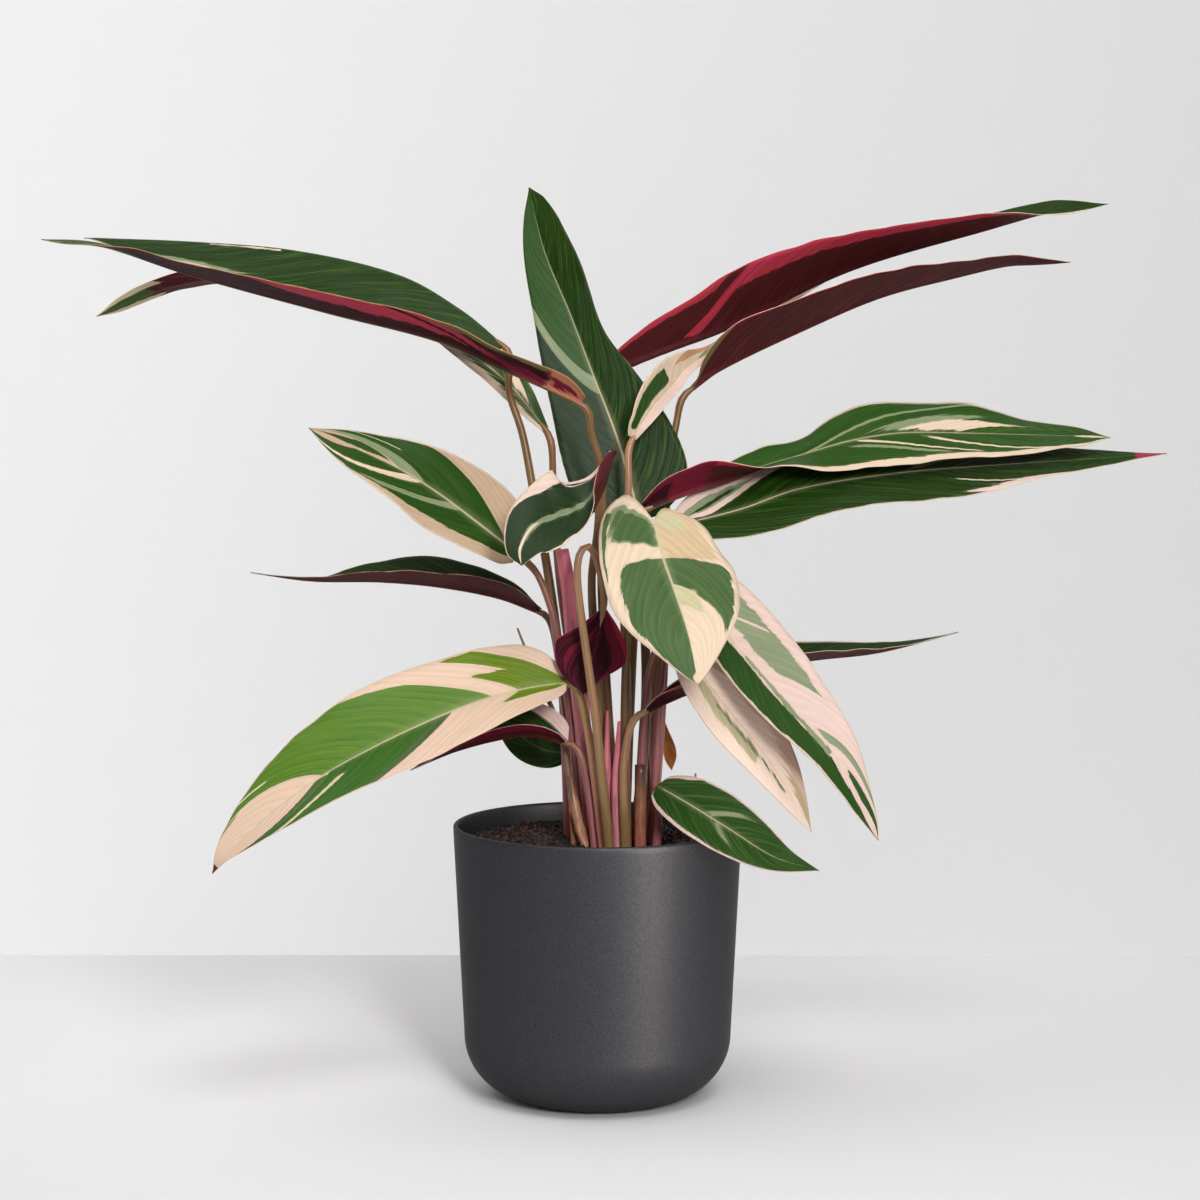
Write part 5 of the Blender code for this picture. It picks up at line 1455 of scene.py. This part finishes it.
@dataclass
class Pot:
    """The round pot: a foot, a wide round corner, a tapered wall and a lip.

    Attributes:
        rim_radius, height: outer radius of the rim and the whole height.
        corner_radius, corner_height: where the round corner meets the wall.
        foot_radius: radius of the flat foot.
        wall, floor: thickness of the wall and of the floor.
        segments, corner_steps: faces round the pot and up its corner.
    """

    rim_radius: float = 75.0
    height: float = 142.0
    corner_radius: float = 69.5
    corner_height: float = 32.0
    foot_radius: float = 37.0
    wall: float = 2.6
    floor: float = 4.0
    segments: int = 160
    corner_steps: int = 24

    def wall_radius(self, height: float) -> float:
        """Return the outer radius at one height."""
        if height >= self.corner_height:
            share = (height - self.corner_height) / (self.height - self.corner_height)
            return self.corner_radius + (self.rim_radius - self.corner_radius) * share
        share = 1.0 - height / self.corner_height
        reach = self.corner_radius - self.foot_radius
        return self.foot_radius + reach * math.sqrt(max(1.0 - share * share, 0.0))

    def profile(self) -> list:
        """Return the closed profile of (radius, height) points."""
        steps = self.corner_steps
        outside = [(0.0, 0.0), (self.foot_radius - 4.0, 0.0)]
        for i in range(steps + 1):
            height = self.corner_height * (1.0 - math.cos(math.pi / 2.0 * i / steps))
            outside.append((self.wall_radius(height), height))
        levels = (45.0, 60.0, 75.0, 90.0, 105.0, 120.0, 132.0, 138.0)
        outside += [(self.wall_radius(h), h) for h in levels]
        lip = self.height
        rim = self.rim_radius
        bore = rim - self.wall
        turn = [(rim - 0.12, lip - 1.3), (rim - 0.25, lip - 0.7), (rim - 0.55, lip - 0.25), (rim - 1.0, lip)]
        turn += [(bore + 0.8, lip), (bore + 0.3, lip - 0.3), (bore, lip - 1.2)]
        inside = [(self.wall_radius(h) - self.wall, h) for h in (138.0, 128.0, 110.0, 90.0)]
        for i in range(steps, -1, -1):
            share = 1.0 - math.cos(math.pi / 2.0 * i / steps)
            height = self.floor + (self.corner_height - self.floor) * share
            radius = self.wall_radius(self.corner_height * share) - self.wall - (1.0 - share)
            inside.append((radius, height))
        return [*outside, *turn, *inside, (0.0, self.floor)]

    def build(self, finish: bpy.types.Material) -> bpy.types.Object:
        """Turn the profile about the upright axis.

        Args:
            finish: the pot's material.

        Returns:
            The pot's object.
        """
        item = make_lathe("pot_body", self.profile(), self.segments)
        item.data.materials.append(finish)
        return item


def make_lathe(name: str, profile: list, segments: int) -> bpy.types.Object:
    """Turn a profile of (radius, height) points about the Z axis.

    Args:
        name: name of the object.
        profile: points from the axis below, up the outside, to the axis.
        segments: faces round the axis.

    Returns:
        The closed object.
    """
    points = [(0.0, 0.0, profile[0][1])]
    for radius, height in profile[1:-1]:
        for k in range(segments):
            angle = FULL_TURN * k / segments
            points.append((radius * math.cos(angle), radius * math.sin(angle), height))
    points.append((0.0, 0.0, profile[-1][1]))
    faces = []
    inner = len(profile) - 2
    for k in range(segments):
        n = (k + 1) % segments
        faces.append((0, 1 + n, 1 + k))
        for i in range(inner - 1):
            a = 1 + i * segments
            faces.append((a + k, a + n, a + segments + n, a + segments + k))
        last = 1 + (inner - 1) * segments
        faces.append((last + k, last + n, len(points) - 1))
    return make_object(name, points, faces)


@dataclass(frozen=True)
class PotFinish:
    """Satin dark grey plastic with a very fine grain.

    Attributes:
        colour: its display colour.
        roughness, metallic: how rough and how metal-like it is.
        edge: strength of the highlights, and their grey seen at a slant.
        grain_scale: how fine the grain is, in grains per metre.
        grain_tone, darkest: how much the grain changes the lightness, and the least of it.
    """

    colour: Colour = (57, 57, 60)
    roughness: float = 0.46
    metallic: float = 0.7
    edge: float = 0.4
    grain_scale: float = 1100.0
    grain_tone: float = 1.1
    darkest: float = 0.45

    def build(self) -> bpy.types.Material:
        """Build the material."""
        material, g, shader = new_material("pot_plastic")
        coords = g.node("ShaderNodeTexCoord")
        grain = g.noise(coords.outputs["Object"], self.grain_scale, 2.0, 0.6)
        shade = g.node("ShaderNodeHueSaturation")
        shade.inputs["Color"].default_value = linear(self.colour)
        g.feed(shade.inputs["Value"], g.math("MULTIPLY_ADD", grain, self.grain_tone, self.darkest))
        g.feed(shader.inputs["Base Color"], shade.outputs[0])
        shader.inputs["Roughness"].default_value = self.roughness
        shader.inputs["Metallic"].default_value = self.metallic
        shader.inputs["Specular IOR Level"].default_value = self.edge
        shader.inputs["Specular Tint"].default_value = (self.edge, self.edge, self.edge, 1.0)
        g.bump(shader, grain, strength=0.15, distance=0.0002)
        return material


@dataclass
class Soil:
    """The potting soil: an uneven top with loose crumbs on it.

    Attributes:
        edge_radius, edge_height: where its top meets the pot.
        centre_height, dome_radius: height of the middle, and how far out the dome falls.
        sunk: how far the top's mean lies below the CAD's.
        lumps: (size, height, layer of the noise) of the coarse and the fine lumps.
        top_from: height above which a corner belongs to the top.
        rings, segments: faces from edge to middle and round the top.
        crumb_size, crumbs_per_mm2: radius and number of the crumbs.
        crumb_least, crumb_most: smallest and largest stretch of a crumb.
        crumbs_above: height in metres above which crumbs lie.
        seed: seed of the crumbs.
    """

    edge_radius: float = 71.5
    edge_height: float = 132.5
    centre_height: float = 134.5
    dome_radius: float = 66.0
    sunk: float = 0.7
    lumps: tuple = ((9.0, 0.9, 2.0), (3.0, 0.6, 7.0))
    top_from: float = 131.5
    rings: int = 60
    segments: int = 180
    crumb_size: float = 1.6
    crumbs_per_mm2: float = 0.13
    crumb_least: tuple = (0.5, 0.3, 0.3)
    crumb_most: tuple = (1.9, 1.1, 0.9)
    crumbs_above: float = 0.1305
    seed: int = 11

    def height(self, radius: float, angle: float) -> float:
        """Return the height of the uneven top at one place."""
        share = min(radius / self.dome_radius, 1.0)
        level = self.centre_height + (self.edge_height - self.centre_height) * share * share
        x = radius * math.cos(angle)
        y = radius * math.sin(angle)
        relief = 0.0
        for size, rise, layer in self.lumps:
            relief += noise.noise(Vector((x / size, y / size, layer))) * rise
        return level - self.sunk + relief

    def scatter(self, item: bpy.types.Object, finish: bpy.types.Material) -> None:
        """Strew crumbs over the top and make them part of the mesh.

        Args:
            item: the soil's body.
            finish: the soil's material.
        """
        tree = bpy.data.node_groups.new("crumbs", "GeometryNodeTree")
        inputs = (("Body", "Geometry"), *floats("Density", "Size"), ("Seed", "Int"), ("Finish", "Material"))
        for label, kind in inputs:
            tree.interface.new_socket(label, in_out="INPUT", socket_type=f"NodeSocket{kind}")
        tree.interface.new_socket("Body", in_out="OUTPUT", socket_type="NodeSocketGeometry")
        g = Graph(tree)
        given = g.node("NodeGroupInput").outputs
        out = g.node("NodeGroupOutput")
        lift = g.node("ShaderNodeSeparateXYZ")
        g.feed(lift.inputs[0], g.node("GeometryNodeInputPosition").outputs[0])
        high = g.node("FunctionNodeCompare", operation="GREATER_THAN")
        g.feed(high.inputs[0], lift.outputs[2])
        g.feed(high.inputs[1], self.crumbs_above)
        spread = g.node("GeometryNodeDistributePointsOnFaces")
        crumb = g.node("GeometryNodeMeshIcoSphere")
        crumb.inputs["Subdivisions"].default_value = 1
        sizes = g.node("FunctionNodeRandomValue", data_type="FLOAT_VECTOR")
        sizes.inputs[0].default_value = self.crumb_least
        sizes.inputs[1].default_value = self.crumb_most
        turns = g.node("FunctionNodeRandomValue", data_type="FLOAT_VECTOR")
        turns.inputs[1].default_value = (6.28, 6.28, 6.28)
        place = g.node("GeometryNodeInstanceOnPoints")
        real = g.node("GeometryNodeRealizeInstances")
        both = g.node("GeometryNodeJoinGeometry")
        paint = g.node("GeometryNodeSetMaterial")
        for socket, value in (
            (spread.inputs["Mesh"], given["Body"]), (spread.inputs["Selection"], high.outputs[0]),
            (spread.inputs["Density"], given["Density"]), (spread.inputs["Seed"], given["Seed"]),
            (sizes.inputs["Seed"], given["Seed"]), (turns.inputs["Seed"], given["Seed"]),
            (crumb.inputs["Radius"], given["Size"]), (place.inputs["Points"], spread.outputs["Points"]),
            (place.inputs["Instance"], crumb.outputs["Mesh"]), (place.inputs["Rotation"], turns.outputs[0]),
            (place.inputs["Scale"], sizes.outputs[0]), (both.inputs[0], given["Body"]),
            (both.inputs[0], place.outputs[0]), (real.inputs[0], both.outputs[0]),
            (paint.inputs["Geometry"], real.outputs[0]), (paint.inputs["Material"], given["Finish"]),
            (out.inputs[0], paint.outputs[0]),
        ):
            g.feed(socket, value)
        modifier = item.modifiers.new("crumbs", "NODES")
        modifier.node_group = tree
        values = {"Density": self.crumbs_per_mm2 / MM ** 2, "Size": self.crumb_size * MM,
                  "Seed": self.seed, "Finish": finish}
        for socket in tree.interface.items_tree:
            if socket.in_out == "INPUT" and socket.name in values:
                modifier[socket.identifier] = values[socket.name]
        seen = item.evaluated_get(bpy.context.evaluated_depsgraph_get())
        mesh = bpy.data.meshes.new_from_object(seen)
        item.modifiers.clear()
        item.data = mesh

    def build(self, finish: bpy.types.Material) -> bpy.types.Object:
        """Build the soil's closed body."""
        profile = [(0.0, 8.0), (60.0, 60.0), (68.0, 90.0), (self.edge_radius - 0.6, 131.0)]
        radii = [self.edge_radius * (1.0 - i / self.rings) for i in range(self.rings)]
        profile += [(r, 132.0) for r in radii] + [(0.0, 134.0)]
        item = make_lathe("soil_body", profile, self.segments)
        for corner in item.data.vertices:
            x, y, z = (c / MM for c in corner.co)
            if z > self.top_from:
                corner.co.z = self.height(math.hypot(x, y), math.atan2(y, x)) * MM
        item.data.update()
        item.data.materials.append(finish)
        self.scatter(item, finish)
        return item


@dataclass(frozen=True)
class SoilFinish:
    """Moist dark potting soil, with painted shade in its hollows.

    Attributes:
        dark, light: display colours of its hollows, which is the soil's own dark tone with painted shade,
            and of its lumps.
        lump_scale: how fine the lumps are, in lumps per metre.
    """

    dark: Colour = (12, 8, 6)
    light: Colour = (104, 56, 34)
    lump_scale: float = 300.0

    def build(self) -> bpy.types.Material:
        """Build the material."""
        material, g, shader = new_material("soil_peat")
        coords = g.node("ShaderNodeTexCoord")
        lumps = g.noise(coords.outputs["Object"], self.lump_scale, 4.0, 0.65)
        # The hollows of the bump take the dark colour: painted shade over the soil's own dark tone.
        colour = g.mix(g.ramp(lumps, 0.5, 0.68), linear(self.dark), linear(self.light))
        g.feed(shader.inputs["Base Color"], colour)
        shader.inputs["Roughness"].default_value = 0.9
        g.bump(shader, lumps, strength=0.8, distance=0.001)
        return material


@dataclass
class Studio:
    """The floor, the wall, the lights and the camera.

    Attributes:
        pot: the pot, which has a light of its own for its highlight.
        wall_distance: how far behind the pot's middle the wall stands.
        reach: how far the floor and the wall run out, in millimetres.
        camera_place, camera_tilt, lens: the camera's place, tilt and lens.
    """

    pot: bpy.types.Object
    wall_distance: float = 0.343
    reach: float = 4000.0
    camera_place: tuple = (0.0013, -1.5, 0.3902)
    camera_tilt: float = 84.98
    lens: float = 87.56
    wall: bpy.types.Object = field(init=False, default=None)

    def panel(self, name: str, corners: list, colour: Colour) -> bpy.types.Object:
        """Make a flat panel of one matt colour.

        Args:
            name: name of the panel.
            corners: its four corners in millimetres.
            colour: its display colour.

        Returns:
            The panel's object.
        """
        material, _, shader = new_material(f"{name}_paint")
        shader.inputs["Base Color"].default_value = linear(colour)
        shader.inputs["Roughness"].default_value = 0.9
        shader.inputs["Specular IOR Level"].default_value = 0.1
        item = make_object(name, corners, [(0, 1, 2, 3)], False)
        item.data.materials.append(material)
        return item

    def build_room(self) -> None:
        """Build the floor and the wall as stage pieces."""
        far = self.reach
        back = self.wall_distance / MM
        floor = self.panel("floor", [(-far, -far, 0), (far, -far, 0), (far, back, 0), (-far, back, 0)],
                           (221, 220, 220))
        wall = self.panel("wall", [(-far, back, 0), (far, back, 0), (far, back, far), (-far, back, far)],
                          (228, 228, 228))
        self.wall = wall

    def add_light(self, name: str, place: tuple, size: tuple, power: float, aim: tuple = (0.0, 0.0, 0.22),
                  colour: tuple = (1.0, 1.0, 1.0), spread: float = 180.0) -> None:
        """Add an area light and list what it shines on.

        The backdrop light shines on the wall only, the edge light on the pot
        only, and the others on everything but the wall.

        Args:
            name: name of the light.
            place: its place in metres.
            size: its width and height.
            power: its power in watts.
            aim: the point it faces.
            colour: its linear colour.
            spread: the opening angle of its beam.
        """
        data = bpy.data.lights.new(name, "AREA")
        data.color = colour
        data.spread = math.radians(spread)
        data.shape = "RECTANGLE"
        data.size, data.size_y = size
        data.energy = power
        lamp = bpy.data.objects.new(name, data)
        lamp.location = place
        turn = (Vector(aim) - Vector(place)).to_track_quat("-Z", "Y")
        lamp.rotation_euler = turn.to_euler()
        bpy.context.scene.collection.objects.link(lamp)
        lit = bpy.data.collections.new(f"{name}_lit")
        lit.objects.link(self.pot if name == "edge" else self.wall)
        state = "INCLUDE" if name in ("backdrop", "edge") else "EXCLUDE"
        lit.collection_objects[0].light_linking.link_state = state
        lamp.light_linking.receiver_collection = lit
        if state == "INCLUDE":
            lamp.light_linking.blocker_collection = lit

    def build_lights(self) -> None:
        """Add the plant's three lights, the pot's light and the wall's light."""
        self.add_light("key", (0.5, -2.05, 1.1), (0.35, 0.6), 2.65, (0.0, 0.0, 0.3), spread=50.0)
        self.add_light("top", (0.35, -1.3, 2.0), (0.8, 0.8), 2.65, (0.0, 0.1, 0.25), spread=60.0)
        self.add_light("fill", (-0.8, -0.3, 2.0), (1.6, 1.6), 14.0)
        self.add_light("edge", (1.35, -1.5, 0.12), (0.5, 0.5), 40.0, (0.0, 0.0, 0.07), (1.0, 0.93, 0.86))
        self.add_light("backdrop", (-0.8, -1.6, 1.2), (1.6, 1.6), 42.0, (-0.15, self.wall_distance, 0.4))
        world = bpy.data.worlds.new("studio")
        world.use_nodes = True
        world.node_tree.nodes["Background"].inputs[0].default_value = (1.0, 1.0, 1.0, 1.0)
        world.node_tree.nodes["Background"].inputs[1].default_value = 0.3
        bpy.context.scene.world = world

    def build_camera(self) -> None:
        """Place the camera at the picture's angle."""
        data = bpy.data.cameras.new("camera")
        data.lens = self.lens
        data.sensor_width = 36.0
        data.sensor_fit = "HORIZONTAL"
        camera = bpy.data.objects.new("camera", data)
        camera.location = self.camera_place
        camera.rotation_euler = (math.radians(self.camera_tilt), 0.0, 0.0)
        bpy.context.scene.collection.objects.link(camera)
        bpy.context.scene.camera = camera

    def build(self) -> None:
        """Build the whole studio."""
        self.build_room()
        self.build_lights()
        self.build_camera()
        view = bpy.context.scene.view_settings
        view.view_transform = "Standard"
        view.look = "None"


def stem_of(shape: BladeShape, finish: StalkFinish) -> Stem:
    """Return the stem that carries one blade.

    Args:
        shape: the blade's shape, which holds its stem's points.
        finish: the stem's skin.

    Returns:
        The stem.
    """
    root = Vector(shape.rib[0])
    knee = root - (Vector(shape.rib[1]) - root).normalized() * shape.knee
    label = shape.name.replace("leaf", "stem")
    if shape.end:
        return Stem(label, (*shape.stem, shape.end), shape.radius, finish, swelling=0.15)
    taper = 10.0
    lowered = 0.9
    rib = Path(shape.rib)
    below = Vector(shape.facing[0][1]).normalized() * lowered
    under = rib.at(taper / rib.length) - below
    path = (*shape.stem, tuple(knee), tuple(root - below * 0.5), tuple(under))
    return Stem(label, path, shape.radius, finish, swelling=0.12, taper=taper)


def seat(item: bpy.types.Object, node: str) -> None:
    """Hang a finished piece on the frame in place of its CAD node."""
    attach(item, "root")
    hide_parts(node)
    LOG.info("%s: %d faces", item.name, len(item.data.polygons))


def main() -> None:
    """Build every piece in order, then note the sizes."""
    groups = LeafGroups()
    pot = Pot().build(PotFinish().build())
    seat(pot, "pot")
    seat(Soil().build(SoilFinish().build()), "soil")
    for shape in BLADES:
        blade = Blade(shape, LOOKS[shape.name], groups)
        seat(blade.build(), shape.name)
        stem = stem_of(shape, STEM_FINISHES.get(shape.name, OLIVE_STEM))
        seat(stem.build(), stem.name)
    for stalk in STALKS:
        finish = STEM_FINISHES.get(stalk.name, OLIVE_STEM)
        stem = Stem(stalk.name, stalk.path, stalk.radii, finish, crumple=stalk.crumple)
        seat(stem.build(), stalk.name)
    Studio(pot).build()


if __name__ == "__main__":
    logging.basicConfig(level=logging.INFO, format="%(message)s")
    main()
